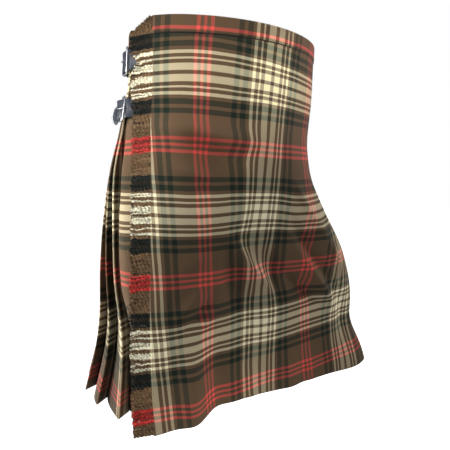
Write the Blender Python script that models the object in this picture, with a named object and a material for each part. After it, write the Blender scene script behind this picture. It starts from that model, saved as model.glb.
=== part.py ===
"""Scottish kilt as it hangs when worn: over apron, under apron, pleated back, band, straps.

The wearer looks along -Y, with the right hand towards -X and the top edge of the waist at
z = 0. Sizes are in millimetres and are turned to metres where a mesh is made. A place on
the cloth is told by side (the distance round from the middle of the apron, positive towards
the wearer's left), drop (below the top edge) and out (off the form the cloth hangs on).
"""

import math

import bmesh
import bpy
import numpy as np

MM = 0.001

# ---- driving sizes, in millimetres ----
DROP = 618.0                 # top edge to hem
APRON_WALL = 1.6             # worsted cloth with its turned edges
INNER_WALL = 1.3
SEAM_GAP = 0.3
UNDER_DEPTH = 6.0            # the inner panels hang this far inside the apron's face
HEM_SPARE = 4.0              # and this much further inside at the hem
UNDER_SHORTER = 12.0         # the inner apron is cut shorter, so that it stays hidden

PLEAT_COUNT = 20
PLEAT_GAP = 0.8              # air between two layers of one pleat
PLEAT_LAP = 0.6              # how far a pleat runs under the next, as a share of the pitch
MOST_LAP = 12.0
FELL = 165.0                 # the pleats are sewn flat from the waist down to here
OPEN_DEPTH = 21.0            # how deep the free pleats stand open
FIRST_SPREAD = 20.0          # the pleats nearest the right hip stand wider at the hem
LAYER = INNER_WALL + PLEAT_GAP

BAND_HEIGHT = 24.0
BAND_WALL = 1.2
BAND_GAP = 0.45
BACK_BAND_GAP = 0.75
HIP_DIP = 12.0               # the inner layers sit this much lower on the right hip

FRINGE_LENGTH = 30.5
FRINGE_ROOT = 3.0
FRINGE_LOCKS = 100
FRINGE_WALL = 1.2
CHAMFER = 22.0               # the fringe's top corner is cut off slantwise

LEATHER = 1.5
STRAP_WIDTH = 30.0
HIP_STRAP_WIDTH = 28.0
TAB_LENGTH = 34.0
FRAME_LENGTH = 20.0
FRAME_WIRE = 1.3             # radius of the buckle's wire
PRONG_WIRE = 0.9
TAB_OUT = 1.6                # middle of the tab, off the cloth
TAB_TURN = FRAME_WIRE + LEATHER / 2 + 0.6
FRAME_OUT = TAB_OUT + TAB_TURN
STRAP_OUT = FRAME_OUT + TAB_TURN + LEATHER + 0.5    # where it lies over the pivot bar

# Sections of the worn form. right, left, front and back are half widths from the centre line;
# the square columns are the exponents of a superellipse, 2 for an ellipse, more for a box.
SECTION_COLUMNS = ("drop", "right", "left", "front", "back", "centre",
                   "square_right", "square_left", "square_back", "apron_middle")
SECTIONS = (
    (0, 180, 164, 94, 118, -24, 1.9, 1.9, 2.0, 18),      # waist
    (90, 186, 168, 98, 124, -16, 1.9, 1.9, 2.0, 13),     # yoke
    (190, 204, 170, 116, 138, 0, 1.9, 1.9, 2.1, 6),      # hip
    (240, 212, 172, 123, 146, 7, 2.3, 2.4, 2.1, 3),
    (290, 220, 190, 130, 154, 14, 2.8, 3.2, 2.1, 1),     # seat
    (390, 229, 238, 139, 170, 23, 4.0, 5.2, 2.1, -1),    # thigh
    (480, 233, 262, 149, 184, 30, 5.0, 5.5, 2.1, -1),    # above the knee
    (525, 239, 262, 152, 188, 34, 5.2, 5.6, 2.1, 0),
    (618, 260, 308, 166, 198, 46, 6.0, 7.0, 2.1, 2),     # hem
)

# How far round from the apron's middle each upright edge lies, how deep the side panel is
# tucked in behind the apron's edge, and how far the pleats spring out of the form.
EDGE_COLUMNS = ("drop", "apron_right", "apron_left", "first_pleat", "tuck_in", "spring")
EDGES = (
    (0, 192, 205, 250, 0, 0),
    (165, 189, 212, 251, 0, 0),
    (230, 188, 220, 257, 1, 7),
    (290, 188, 228, 264, 3, 5),
    (390, 191, 246, 268, 6, 4),
    (490, 195, 258, 266, 14, 4),
    (618, 199, 268, 291, 32, 6),
)

# Folds of the two aprons: a soft ridge (rise > 0) or trough (rise < 0) that runs from one
# place to another, with how wide it is and the share of its length in which it fades.
FOLD_COLUMNS = ("from_side", "from_drop", "to_side", "to_drop", "width", "rise", "fade")
FOLDS = {
    "hip_hollow": (-70, 40, -80, 330, 50, -18, 0.5),
    "lap_trough": (-20, 190, -42, 760, 42, -14, 0.35),
    "hem_ridge": (-128, 410, -142, 760, 22, 12, 0.5),
    "hem_trough": (-88, 420, -76, 760, 26, -15, 0.5),
    "hem_hollow": (10, 470, 14, 760, 42, -6, 0.5),
    "drag_fold": (-52, 325, 34, 455, 13, 6, 0.4),
    "left_swell": (132, 260, 150, 520, 34, 7, 0.5),
    "corner_flare": (200, 480, 262, 790, 52, 11, 0.5),
    "corner_pinch": (190, 430, 214, 610, 16, -7, 0.5),
    "right_swing": (-175, 330, -205, 760, 34, 5, 0.4),
}

# Heights of the rows of points. The pleats take every row of the first list, the aprons
# those of both, so that the pieces bend at the same places.
PLEAT_DROPS = (1, 60, 120, 165, 196, 230, 265, 300, 350, 420, 500, 560, DROP)
APRON_DROPS = tuple(sorted(PLEAT_DROPS + (30, 90, 142, 180, 325, 385, 450, 475, 530, 590)))


# ---- the form ----
def smooth_step(start, end, value):
    t = np.clip((value - start) / (end - start), 0.0, 1.0)
    return t * t * (3 - 2 * t)


def read_table(rows, columns, name, drop):
    """A smooth curve through one column of a table, read at drops below the waist."""
    drops = np.array([row[0] for row in rows], float)
    values = np.array([row[columns.index(name)] for row in rows], float)
    step = np.diff(drops)
    rate = np.diff(values) / step
    slope = np.empty(len(drops))
    slope[0], slope[-1] = rate[0], rate[-1]
    slope[1:-1] = (rate[:-1] * step[1:] + rate[1:] * step[:-1]) / (step[1:] + step[:-1])
    drop = np.asarray(drop, float)
    i = np.clip(np.searchsorted(drops, drop) - 1, 0, len(step) - 1)
    t = (drop - drops[i]) / step[i]
    start = values[i] * (1 + 2 * t) * (1 - t) ** 2 + slope[i] * step[i] * t * (1 - t) ** 2
    end = values[i + 1] * t * t * (3 - 2 * t) + slope[i + 1] * step[i] * t * t * (t - 1)
    return start + end


def section(name, drop):
    return float(read_table(SECTIONS, SECTION_COLUMNS, name, drop))


def edge(name, drop):
    return np.maximum(read_table(EDGES, EDGE_COLUMNS, name, drop), 0.0)


class Form:
    """The shape the cloth hangs on, kept as a grid of points by drop and side."""

    side_step = 2.0
    drop_step = 6.0
    first_side = -1380.0
    last_side = 340.0

    def __init__(self):
        self.sides = np.arange(self.first_side, self.last_side, self.side_step)
        self.drops = np.arange(0.0, DROP + self.drop_step, self.drop_step)
        middle_x = (section("left", 0) - section("right", 0)) / 2
        middle_y = section("centre", 0) + (section("back", 0) - section("front", 0)) / 2
        grid = []
        around = []
        for drop in self.drops:
            x, y, side, length = self.outline(drop)
            around.append(length)
            grid.append(np.stack([np.interp(self.sides, side, x - middle_x, period=length),
                                  np.interp(self.sides, side, y - middle_y, period=length)], -1))
        self.around_at = np.array(around)
        self.grid = np.array(grid)
        along = np.gradient(self.grid, axis=1)
        along[:, 1:-1] = (along[:, :-2] + along[:, 1:-1] + along[:, 2:]) / 3
        along /= np.linalg.norm(along, axis=2, keepdims=True)
        self.outward = np.stack([along[:, :, 1], -along[:, :, 0]], axis=-1)

    def outline(self, drop):
        angle = np.radians(np.linspace(-180, 180, 1441))
        across, ahead = np.sin(angle), np.cos(angle)
        square = np.where(ahead < 0, section("square_back", drop),
                          np.where(across < 0, section("square_right", drop),
                                   section("square_left", drop)))
        wide = np.where(across < 0, section("right", drop), section("left", drop))
        deep = np.where(ahead > 0, section("front", drop), section("back", drop))
        x = wide * np.sign(across) * np.abs(across) ** (2 / square)
        y = section("centre", drop) - deep * np.sign(ahead) * np.abs(ahead) ** (2 / square)
        side = np.concatenate([[0], np.cumsum(np.hypot(np.diff(x), np.diff(y)))])
        middle = np.argmin(np.where(ahead > 0, np.abs(x - section("apron_middle", drop)), 1e9))
        return x, y, side - side[middle], side[-1]

    def around(self, drop):
        return np.interp(drop, self.drops, self.around_at)

    def at(self, side, drop, out):
        """The points at these places, as pairs of x and y."""
        side, drop, out = np.broadcast_arrays(np.asarray(side, float), drop, out)
        a = (side - self.first_side) / self.side_step
        b = drop / self.drop_step
        i = np.clip(b.astype(int), 0, len(self.drops) - 2)
        j = np.clip(a.astype(int), 0, len(self.sides) - 2)
        s, t = (b - i)[..., None], (a - j)[..., None]

        def read(table):
            upper = table[i, j] * (1 - t) + table[i, j + 1] * t
            lower = table[i + 1, j] * (1 - t) + table[i + 1, j + 1] * t
            return upper * (1 - s) + lower * s

        return read(self.grid) + out[..., None] * read(self.outward)


FORM = Form()


def fold_rise(side, drop):
    """How far the folds lift the aprons off the form."""
    total = 0.0
    for row in FOLDS.values():
        fold = dict(zip(FOLD_COLUMNS, row))
        run_side = fold["to_side"] - fold["from_side"]
        run_drop = fold["to_drop"] - fold["from_drop"]
        length = math.hypot(run_side, run_drop)
        from_side, from_drop = side - fold["from_side"], drop - fold["from_drop"]
        along = (from_side * run_side + from_drop * run_drop) / length ** 2
        away = (from_side * run_drop - from_drop * run_side) / length
        ends = smooth_step(0, fold["fade"], along) * smooth_step(0, fold["fade"], 1 - along)
        total = total + fold["rise"] * ends * np.exp(-((away / fold["width"]) ** 2))
    return total


def hip_dip(side, drop):
    """How much lower the inner layers sit on the right hip, most at their top edge."""
    around_hip = smooth_step(-90, -180, side) * smooth_step(-430, -310, side)
    return HIP_DIP * around_hip * (1 - smooth_step(0, 120, drop))


def inner_out(side, drop):
    """How far off the form the inner panels' middle is, in front of the first pleat."""
    right = -edge("apron_right", drop)
    behind_edge = smooth_step(right + 90, right, side)
    folds = fold_rise(side, drop) * (1 - smooth_step(right - 5, right - 40, side))
    deeper = UNDER_DEPTH + HEM_SPARE * smooth_step(300, DROP, drop)
    return folds - deeper - edge("tuck_in", drop) * behind_edge


def side_out(side, pleats):
    """The side panel's middle: level with the under apron, then down to the first pleat's fold."""
    flat = inner_out(side, pleats.drop)
    share = smooth_step(-pleats.start + 28, -pleats.start, side)
    fold = -pleats.depth - INNER_WALL / 2 - pleats.tuck(-pleats.start - side)
    return flat + (fold - flat) * share


# ---- mesh helpers ----
def new_material(name, colour, rough, metallic=0.0):
    material = bpy.data.materials.new(name)
    material.use_nodes = True
    shader = material.node_tree.nodes["Principled BSDF"]
    shader.inputs["Base Color"].default_value = (*colour, 1.0)
    shader.inputs["Roughness"].default_value = rough
    shader.inputs["Metallic"].default_value = metallic
    material.diffuse_color = (*colour, 1.0)
    return material


def new_object(name, points, faces, material):
    mesh = bpy.data.meshes.new(name)
    mesh.from_pydata([tuple(MM * c for c in point) for point in points], [], faces)
    work = bmesh.new()
    work.from_mesh(mesh)
    bmesh.ops.recalc_face_normals(work, faces=work.faces)
    work.to_mesh(mesh)
    work.free()
    mesh.materials.append(material)
    mesh.shade_smooth()
    mesh.set_sharp_from_angle(angle=math.radians(35))
    piece = bpy.data.objects.new(name, mesh)
    bpy.context.scene.collection.objects.link(piece)
    return piece


def move_sideways(line, distance):
    """A flat line of points moved square to itself, with mitred corners."""
    step = np.diff(line, axis=0)
    step /= np.linalg.norm(step, axis=1)[:, None]
    square = np.stack([step[:, 1], -step[:, 0]], axis=-1)
    before = np.vstack([square[:1], square])
    after = np.vstack([square, square[-1:]])
    middle = before + after
    middle /= np.linalg.norm(middle, axis=1)[:, None]
    mitre = 1 / np.maximum((middle * before).sum(axis=1), 0.6)
    return line + middle * (distance * mitre)[:, None]


def wall(name, rows, thickness, material):
    """A sheet with a real thickness. rows holds pairs of drops and flat line, top to bottom."""
    outer = []
    inner = []
    for drop, line in rows:
        height = -np.broadcast_to(np.asarray(drop, float), (len(line),))[:, None]
        outer.append(np.hstack([move_sideways(line, thickness / 2), height]))
        inner.append(np.hstack([move_sideways(line, -thickness / 2), height]))
    down, along = len(rows), len(rows[0][1])
    half = down * along
    faces = []
    for i in range(down - 1):
        for j in range(along - 1):
            a = i * along + j
            b = a + along
            for face in ((a, a + 1, b + 1), (a, b + 1, b)):
                faces.append(face)
                faces.append(tuple(half + k for k in reversed(face)))
    rim = list(range(along))
    rim += [i * along + along - 1 for i in range(1, down)]
    rim += [(down - 1) * along + j for j in range(along - 2, -1, -1)]
    rim += [i * along for i in range(down - 2, 0, -1)]
    for a, b in zip(rim, rim[1:] + rim[:1]):
        faces.append((a, b, half + b, half + a))
    return new_object(name, np.vstack([*outer, *inner]), faces, material)


def tube(name, path, radius, sides, material, closed=False):
    """A round wire along a path of points, closed on itself or with capped ends."""
    path = np.asarray(path, float)
    count = len(path)
    points = []
    up = None
    for i in range(count):
        ahead = path[(i + 1) % count] if closed or i < count - 1 else path[i]
        behind = path[i - 1] if closed or i > 0 else path[i]
        along = (ahead - behind) / np.linalg.norm(ahead - behind)
        if up is None:
            up = np.cross(along, (0.3, 0.2, 0.93))
        up = up - along * np.dot(up, along)
        up /= np.linalg.norm(up)
        across = np.cross(along, up)
        for k in range(sides):
            angle = 2 * math.pi * k / sides
            points.append(path[i] + radius * (math.cos(angle) * up + math.sin(angle) * across))
    faces = []
    for i in range(count if closed else count - 1):
        j = (i + 1) % count
        for k in range(sides):
            m = (k + 1) % sides
            faces.append((i * sides + k, i * sides + m, j * sides + m, j * sides + k))
    if not closed:
        faces.append(tuple(range(sides)))
        faces.append(tuple((count - 1) * sides + k for k in range(sides)))
    return new_object(name, points, faces, material)


# ---- aprons and side panel ----
def apron_sides(drop):
    return np.linspace(-edge("apron_right", drop), edge("apron_left", drop), 37)


def make_over_apron(material):
    rows = []
    for drop in APRON_DROPS:
        side = apron_sides(drop)
        out = fold_rise(side, drop) - APRON_WALL / 2
        rows.append((drop, FORM.at(side, drop, out)))
    return wall("over_apron", rows, APRON_WALL, material)


def inner_rows(drops, first_side, last_side, count, extra_out):
    rows = []
    for nominal in drops:
        side = np.linspace(first_side(nominal), last_side(nominal), count)
        drop = nominal + hip_dip(side, nominal)
        rows.append((drop, FORM.at(side, drop, inner_out(side, drop) + extra_out)))
    return rows


def under_apron_right(drop):
    return -edge("apron_right", drop) + 8


def make_under_apron(material):
    drops = [min(drop, DROP - UNDER_SHORTER) for drop in PLEAT_DROPS]
    rows = inner_rows(drops, lambda drop: under_apron_right(drop) + SEAM_GAP / 2,
                      lambda drop: 178.0 + 12 * drop / DROP, 30, 0.0)
    return wall("under_apron", rows, INNER_WALL, material)


def make_side_panel(material):
    """From behind the apron's right edge to the first pleat's inner fold."""
    rows = []
    for nominal in PLEAT_DROPS:
        pleats = PleatRow(nominal)
        begin = under_apron_right(nominal) - SEAM_GAP
        side = np.linspace(begin, -pleats.start - pleats.lap, 9)
        drop = nominal + hip_dip(side, nominal)
        rows.append((drop, FORM.at(side, drop, side_out(side, pleats))))
    return wall("side_panel", rows, INNER_WALL, material)


# ---- pleats ----
class PleatRow:
    """Sizes of the pleats at one drop. along is measured backward from the first edge."""

    def __init__(self, drop):
        self.drop = drop
        self.start = float(edge("first_pleat", drop))
        self.length = FORM.around(drop) - self.start - float(edge("apron_left", drop))
        self.pitch = self.length / PLEAT_COUNT
        self.lap = min(PLEAT_LAP * self.pitch, MOST_LAP)
        self.opened = float(smooth_step(FELL - 15, FELL + 110, drop))
        flat = 2 * LAYER * (self.pitch + self.lap) / self.pitch
        self.depth = flat + (OPEN_DEPTH - flat) * self.opened

    def edge_at(self, k):
        spread = FIRST_SPREAD * float(smooth_step(-0.6, 2.4, k) - smooth_step(-0.6, 2.4, 0)) * (1 - k / PLEAT_COUNT)
        sway = 2.2 * math.sin(2.4 * k) + 1.3 * math.sin(5.1 * k)
        return k * self.pitch + self.opened * (spread + sway * (0 < k < PLEAT_COUNT))

    def lift_at(self, k):
        """How far the edge of one pleat stands off the form."""
        spring = float(edge("spring", self.drop)) * (1 - k / (PLEAT_COUNT - 1))
        return spring + self.opened * (1.4 * math.sin(3.7 * k + 1) - 1.0)

    def tuck(self, along):
        """Behind the apron's edge the first pleats hang nearer the body than the form."""
        return edge("tuck_in", self.drop) * (1 - smooth_step(-20, 95, along))

    def place(self, along, out):
        along = np.asarray(along)
        side = -self.start - along
        drop = self.drop + hip_dip(side, self.drop)
        return drop, FORM.at(side, drop, np.asarray(out) - INNER_WALL / 2 - self.tuck(along))


def pleat_line(row, first, last):
    """The cloth through the pleats first..last-1, from one inner fold to another."""
    parting = 1.5
    along, out = [], []
    for k in range(first, last):
        here, following = row.edge_at(k), row.edge_at(k + 1)
        lift = row.lift_at(k)
        fold = row.lap - parting * (k == first and k > 0)
        along += [here + fold, here, here]
        out += [LAYER - row.depth, lift - LAYER, lift]
        if k < PLEAT_COUNT - 1:
            fold = row.lap - parting * (k == last - 1)
            along += [0.5 * (here + following + row.lap), following + fold]
            out += [lift - 0.42 * (row.depth + lift), -row.depth]
        else:
            under = INNER_WALL / 2 - UNDER_DEPTH - HEM_SPARE * row.opened
            along += [here + 0.5 * row.pitch, row.length - 3, row.length + 14]
            out += [0.5 * (lift + under), under, under]
    return row.place(along, out)


def make_pleats(name, first, last, material):
    rows = [pleat_line(PleatRow(drop), first, last) for drop in PLEAT_DROPS]
    return wall(name, rows, INNER_WALL, material)


# ---- waistband ----
def make_bands(material):
    outside = BAND_GAP + BAND_WALL / 2
    left = float(edge("apron_left", 0))
    around = float(FORM.around(0))
    side = apron_sides(0)
    rows = []
    for drop in (0.0, BAND_HEIGHT / 2, BAND_HEIGHT):
        rows.append((drop, FORM.at(side, drop, outside + fold_rise(side, drop))))
    wall("waistband_front", rows, BAND_WALL, material)

    back_middle = left + (around - left - float(edge("first_pleat", 0))) / 2
    stretches = (("waistband_left", left + SEAM_GAP, back_middle - SEAM_GAP / 2),
                 ("waistband_right", back_middle + SEAM_GAP / 2, around - 238.0))
    for name, start, end in stretches:
        side = np.linspace(start, end, 25) - around
        rows = []
        for nominal in (0.0, BAND_HEIGHT / 2, BAND_HEIGHT):
            drop = nominal + hip_dip(side, nominal)
            rows.append((drop, FORM.at(side, drop, BACK_BAND_GAP + BAND_WALL / 2)))
        wall(name, rows, BAND_WALL, material)

    raised = (INNER_WALL + BAND_WALL) / 2 + BACK_BAND_GAP
    side = np.linspace(-236.0, 178.0, 37)
    rows = []
    for nominal in (0.0, BAND_HEIGHT / 2, BAND_HEIGHT):
        drop = nominal + hip_dip(side, nominal)
        rows.append((drop, FORM.at(side, drop, side_out(side, PleatRow(nominal)) + raised)))
    wall("waistband_under", rows, BAND_WALL, material)


# ---- fringe ----
def make_fringe(material):
    """Frayed weft yarns: a narrow backing with locks that stand out from it, all one body."""
    top, bottom = 1.5, DROP - 1.0
    lock_share = 0.68
    pitch = (bottom - top) / (FRINGE_LOCKS - 1 + lock_share)
    stations = []
    for k in range(FRINGE_LOCKS):
        stations += [top + k * pitch, top + (k + lock_share) * pitch]
    drops = np.array(APRON_DROPS, float)
    base = -edge("apron_right", drops)

    def corner(reach, drop, out):
        """A point off the apron's edge, which runs straight between the apron's rows."""
        line = FORM.at(base - reach, drops, fold_rise(base - reach, drops) - APRON_WALL / 2 + out)
        return (np.interp(drop, drops, line[:, 0]), np.interp(drop, drops, line[:, 1]), -drop)

    points, faces, columns = [], [], []
    for drop in stations:
        columns.append(len(points))
        for reach, out in ((0.4, 1), (0.4 + FRINGE_ROOT, 1), (0.4 + FRINGE_ROOT, -1), (0.4, -1)):
            points.append(corner(reach, drop, out * FRINGE_WALL / 2))
    for i, (a, b) in enumerate(zip(columns, columns[1:])):
        for k in (0, 2, 3):
            faces.append((a + k, a + (k + 1) % 4, b + (k + 1) % 4, b + k))
        root = (a + 1, a + 2, b + 2, b + 1)
        if i % 2:
            faces.append(root)
            continue
        start, end = stations[i], stations[i + 1]
        middle = (start + end) / 2
        wave = math.sin(1.7 * i) + 0.6 * math.sin(4.3 * i + 1)
        reach = FRINGE_LENGTH + 1.2 * wave
        reach = min(reach, FRINGE_ROOT + 5 + 1.5 * (middle - top) * FRINGE_LENGTH / CHAMFER)
        droop = min(3.5 + 0.5 * wave, DROP - 1.0 - end)
        lift = 0.7 + 0.4 * math.sin(2.9 * i)
        half = 0.34 * (end - start)
        tip = len(points)
        for down, off in ((-half, 0.3), (-half, -0.3), (half, -0.3), (half, 0.3)):
            points.append(corner(reach, middle + down + droop, lift + off))
        for k in range(4):
            m = (k + 1) % 4
            faces.append((root[k], root[m], tip + m, tip + k))
        faces.append((tip, tip + 1, tip + 2, tip + 3))
    faces.append(tuple(columns[0] + k for k in range(4)))
    faces.append(tuple(columns[-1] + k for k in range(4)))
    return new_object("apron_fringe", points, faces, material)


# ---- straps and buckles ----
class Fastening:
    """A strap in its buckle. ahead is measured from the pivot bar to the strap's end."""

    def __init__(self, name, drop, pivot, way, width, tail, lift, sag):
        self.name = name
        self.drop = drop            # of the strap's middle
        self.pivot = pivot          # side of the frame's pivot bar
        self.way = way              # -1 on the right hip, 1 on the left
        self.width = width
        self.tail = tail            # strap beyond the pivot bar
        self.lift = lift            # how far its end stands off
        self.sag = sag              # how far its end hangs down

    def point(self, ahead, out, down=0.0):
        drop = self.drop + down
        flat = FORM.at(self.pivot + self.way * ahead, drop, out)
        return (float(flat[0]), float(flat[1]), -drop)

    def strip(self, name, aheads, outs, widths, sags, material):
        """A strip of leather that crosses the form at this height."""
        order = slice(None, None, self.way)
        side = self.pivot + self.way * np.array(aheads, float)[order]
        outs, widths, sags = (np.array(v, float)[order] for v in (outs, widths, sags))
        rows = []
        for across in (-0.5, 0.0, 0.5):
            drop = self.drop + sags + across * widths
            rows.append((drop, FORM.at(side, drop, outs)))
        return wall(name, rows, LEATHER, material)


def make_strap(strap, start, start_out, turn_out, material):
    """Sewn on under the apron, start behind the pivot bar, it comes out at turn_out."""
    low = FRAME_OUT - FRAME_WIRE - SEAM_GAP - LEATHER / 2 - 0.1
    top = STRAP_OUT
    bar = 3 - FRAME_LENGTH
    hidden = np.linspace(-start, -turn_out, 8)
    shown = np.linspace(8 - turn_out, bar, max(2, round((bar + turn_out - 8) / 8)))
    aheads = [*hidden, *shown, -7, 0, 8, 18]
    outs = [start_out] * 8 + [low] * len(shown) + [top - 1.9, top, top - 0.2, top - 0.8]
    end = strap.tail
    for ahead, share in ((0.6, 0.3), (0.86, 0.72), (0.95, 0.9), (1.0, 1.0)):
        aheads.append(18 + ahead * (end - 18))
        outs.append(top - 0.8 + share * strap.lift)
    widths = strap.width * np.array([1.0] * (len(aheads) - 3) + [0.9, 0.5, 0.14])
    sags = strap.sag * smooth_step(16, end, np.array(aheads))
    return strap.strip("strap_" + strap.name, aheads, outs, widths, sags, material)


def make_tab(strap, material):
    """The buckle's leather tab: flat on the cloth, then once round the pivot bar."""
    aheads = [TAB_LENGTH, 22.0, 11.0, 4.0]
    outs = [TAB_OUT] * 4
    for degrees in (-110, -155, -200, -245, -285):
        aheads.append(TAB_TURN * math.cos(math.radians(degrees)))
        outs.append(FRAME_OUT + TAB_TURN * math.sin(math.radians(degrees)))
    widths = [strap.width - 6] * len(aheads)
    return strap.strip("buckle_tab_" + strap.name, aheads, outs, widths, [0.0] * len(aheads),
                       material)


def make_frame(strap, material):
    """A rectangle of wire with round corners, its pivot bar through the tab."""
    half_tall = strap.width / 2 + 4.5
    half_long = FRAME_LENGTH / 2
    corner = 4.0
    path = []
    for long_way, tall_way, start in ((1, 1, 0), (-1, 1, 90), (-1, -1, 180), (1, -1, 270)):
        if start in (0, 180):
            path.append(strap.point(half_long * long_way - half_long, FRAME_OUT))
        for step in (0, 45, 90):
            angle = math.radians(start + step)
            ahead = long_way * (half_long - corner) + corner * math.cos(angle) - half_long
            down = tall_way * (half_tall - corner) + corner * math.sin(angle)
            path.append(strap.point(ahead, FRAME_OUT, down))
    return tube("buckle_frame_" + strap.name, path, FRAME_WIRE, 8, material, closed=True)


def make_prong(strap, material):
    """From the top of the strap over the frame's far bar."""
    over = STRAP_OUT + LEATHER / 2 + PRONG_WIRE + SEAM_GAP
    rest = FRAME_OUT + FRAME_WIRE + PRONG_WIRE + SEAM_GAP
    aheads = (-1.0, -4.0, -9.0, -14.0, -18.0, -22.5)
    outs = (over, over + 0.1, over - 0.5, rest + 0.9, rest + 0.3, rest + 0.1)
    path = [strap.point(ahead, out) for ahead, out in zip(aheads, outs)]
    return tube("buckle_prong_" + strap.name, path, PRONG_WIRE, 6, material)


def make_keeper(strap, material):
    """A leather loop on the tab that holds the strap's end."""
    ahead, half_wide, thickness = 13.0, 3.5, 1.1
    low = TAB_OUT + (LEATHER + thickness) / 2 + SEAM_GAP
    high = STRAP_OUT + (LEATHER + thickness) / 2 + 0.5
    middle = (low + high) / 2
    half_tall = strap.width / 2 + 0.6 + thickness / 2
    points = []
    for side, grow in ((-1, -0.5), (-1, 0.5), (1, 0.5), (1, -0.5)):
        for across, out in ((-1, low), (1, low), (1, high), (-1, high)):
            down = across * (half_tall + grow * thickness)
            off = out + grow * math.copysign(thickness, out - middle)
            points.append(strap.point(ahead + side * half_wide, off, down))
    faces = []
    for i in range(4):
        j = (i + 1) % 4
        for k in range(4):
            m = (k + 1) % 4
            faces.append((4 * i + k, 4 * i + m, 4 * j + m, 4 * j + k))
    return new_object("strap_keeper_" + strap.name, points, faces, material)


def make_fastening(strap, start, start_out, turn_out, leather, metal):
    make_strap(strap, start, start_out, turn_out, leather)
    make_tab(strap, leather)
    make_frame(strap, metal)
    make_prong(strap, metal)
    make_keeper(strap, leather)


def main():
    for item in list(bpy.data.objects):
        bpy.data.objects.remove(item, do_unlink=True)
    check = new_material("worsted_check", (0.17, 0.10, 0.06), 0.85)
    dark_check = new_material("pleat_check", (0.11, 0.08, 0.05), 0.85)
    yarn = new_material("frayed_yarn", (0.36, 0.17, 0.10), 0.9)
    leather = new_material("black_leather", (0.02, 0.022, 0.028), 0.42)
    chrome = new_material("chrome_plate", (0.75, 0.76, 0.78), 0.15, 1.0)

    make_over_apron(check)
    make_under_apron(check)
    make_side_panel(check)
    middle_pleat = PLEAT_COUNT // 2
    make_pleats("pleats_right", 0, middle_pleat, dark_check)
    make_pleats("pleats_left", middle_pleat, PLEAT_COUNT, dark_check)
    make_bands(check)
    make_fringe(yarn)

    under_edge = -APRON_WALL - LEATHER / 2 - 1.55
    waist = Fastening("waist", 53.0, -264.0, -1, STRAP_WIDTH, 44.0, 3.0, 0.0)
    hip = Fastening("hip", 126.0, -260.0, -1, HIP_STRAP_WIDTH, 48.0, 16.0, 6.0)
    left_pivot = float(edge("apron_left", 50)) + 74
    left = Fastening("left", 53.0, left_pivot, 1, STRAP_WIDTH, 40.0, 0.0, 0.0)
    make_fastening(waist, 84.0, under_edge, 34.0, leather, chrome)
    make_fastening(hip, 80.0, under_edge, 34.0, leather, chrome)
    make_fastening(left, 112.0, under_edge, 73.0, leather, chrome)


main()
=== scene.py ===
import math
import bmesh
import bpy
import numpy as np
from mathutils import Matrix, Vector


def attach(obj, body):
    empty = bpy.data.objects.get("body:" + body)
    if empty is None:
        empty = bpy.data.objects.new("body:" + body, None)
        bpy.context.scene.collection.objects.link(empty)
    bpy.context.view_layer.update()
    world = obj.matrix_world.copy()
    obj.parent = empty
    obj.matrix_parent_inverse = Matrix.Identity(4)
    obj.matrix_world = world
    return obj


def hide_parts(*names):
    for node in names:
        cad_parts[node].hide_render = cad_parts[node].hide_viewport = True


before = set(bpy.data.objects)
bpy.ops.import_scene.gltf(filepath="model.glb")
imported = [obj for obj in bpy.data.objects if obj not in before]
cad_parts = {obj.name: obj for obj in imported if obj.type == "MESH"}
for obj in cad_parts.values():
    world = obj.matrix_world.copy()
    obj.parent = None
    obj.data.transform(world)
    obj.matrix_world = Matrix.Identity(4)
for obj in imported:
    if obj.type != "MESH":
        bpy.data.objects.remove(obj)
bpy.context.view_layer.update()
print("frame loaded:", len(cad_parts), "nodes")

# A place on the cloth is told by side (mm round from the middle of the apron, + to the
# wearer's left), drop (mm below the top edge) and out (mm off the form it hangs on).
mm = 0.001

kilt = {
    "drop": 618.0,          # top edge to hem
    "cutTop": 1.0,          # the cloth ends this far below the top edge, inside the band
    "creamAt": 86.0,        # drop of the first cream bar's middle
    "apronWall": 1.3,       # 13 oz worsted
    "innerWall": 1.1,
    "underDepth": 6.0,      # the inner panels hang this far inside the apron
    "hemSpare": 4.0,        # and this much further in at the hem
    "hipDip": 12.0,         # the inner layers sit lower on the right hip
}

sectionColumns = ("drop", "right", "left", "front", "back", "centre",
                  "squareRight", "squareLeft", "squareBack", "apronMiddle")
sections = (
    (0, 180, 164, 94, 118, -24, 1.9, 1.9, 2.0, 18),      # waist
    (90, 186, 168, 98, 124, -16, 1.9, 1.9, 2.0, 13),     # yoke
    (190, 204, 170, 116, 138, 0, 1.9, 1.9, 2.1, 6),      # hip
    (240, 212, 172, 123, 146, 7, 2.3, 2.4, 2.1, 3),
    (290, 220, 190, 130, 154, 14, 2.8, 3.2, 2.1, 1),     # seat
    (390, 229, 238, 139, 170, 23, 4.0, 5.2, 2.1, -1),    # thigh
    (480, 233, 262, 149, 184, 30, 5.0, 5.5, 2.1, -1),    # above the knee
    (525, 239, 262, 152, 188, 34, 5.2, 5.6, 2.1, 0),
    (618, 260, 308, 166, 198, 46, 6.0, 7.0, 2.1, 2),     # hem
)

edgeColumns = ("drop", "apronRight", "apronLeft", "firstPleat", "tuckIn", "spring")
edges = (
    (0, 192, 205, 250, 0, 0),
    (165, 189, 212, 251, 0, 0),
    (230, 188, 220, 257, 1, 7),
    (290, 188, 228, 264, 3, 5),
    (390, 191, 246, 268, 6, 4),
    (490, 195, 258, 266, 14, 4),
    (618, 199, 268, 291, 32, 6),
)

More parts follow.
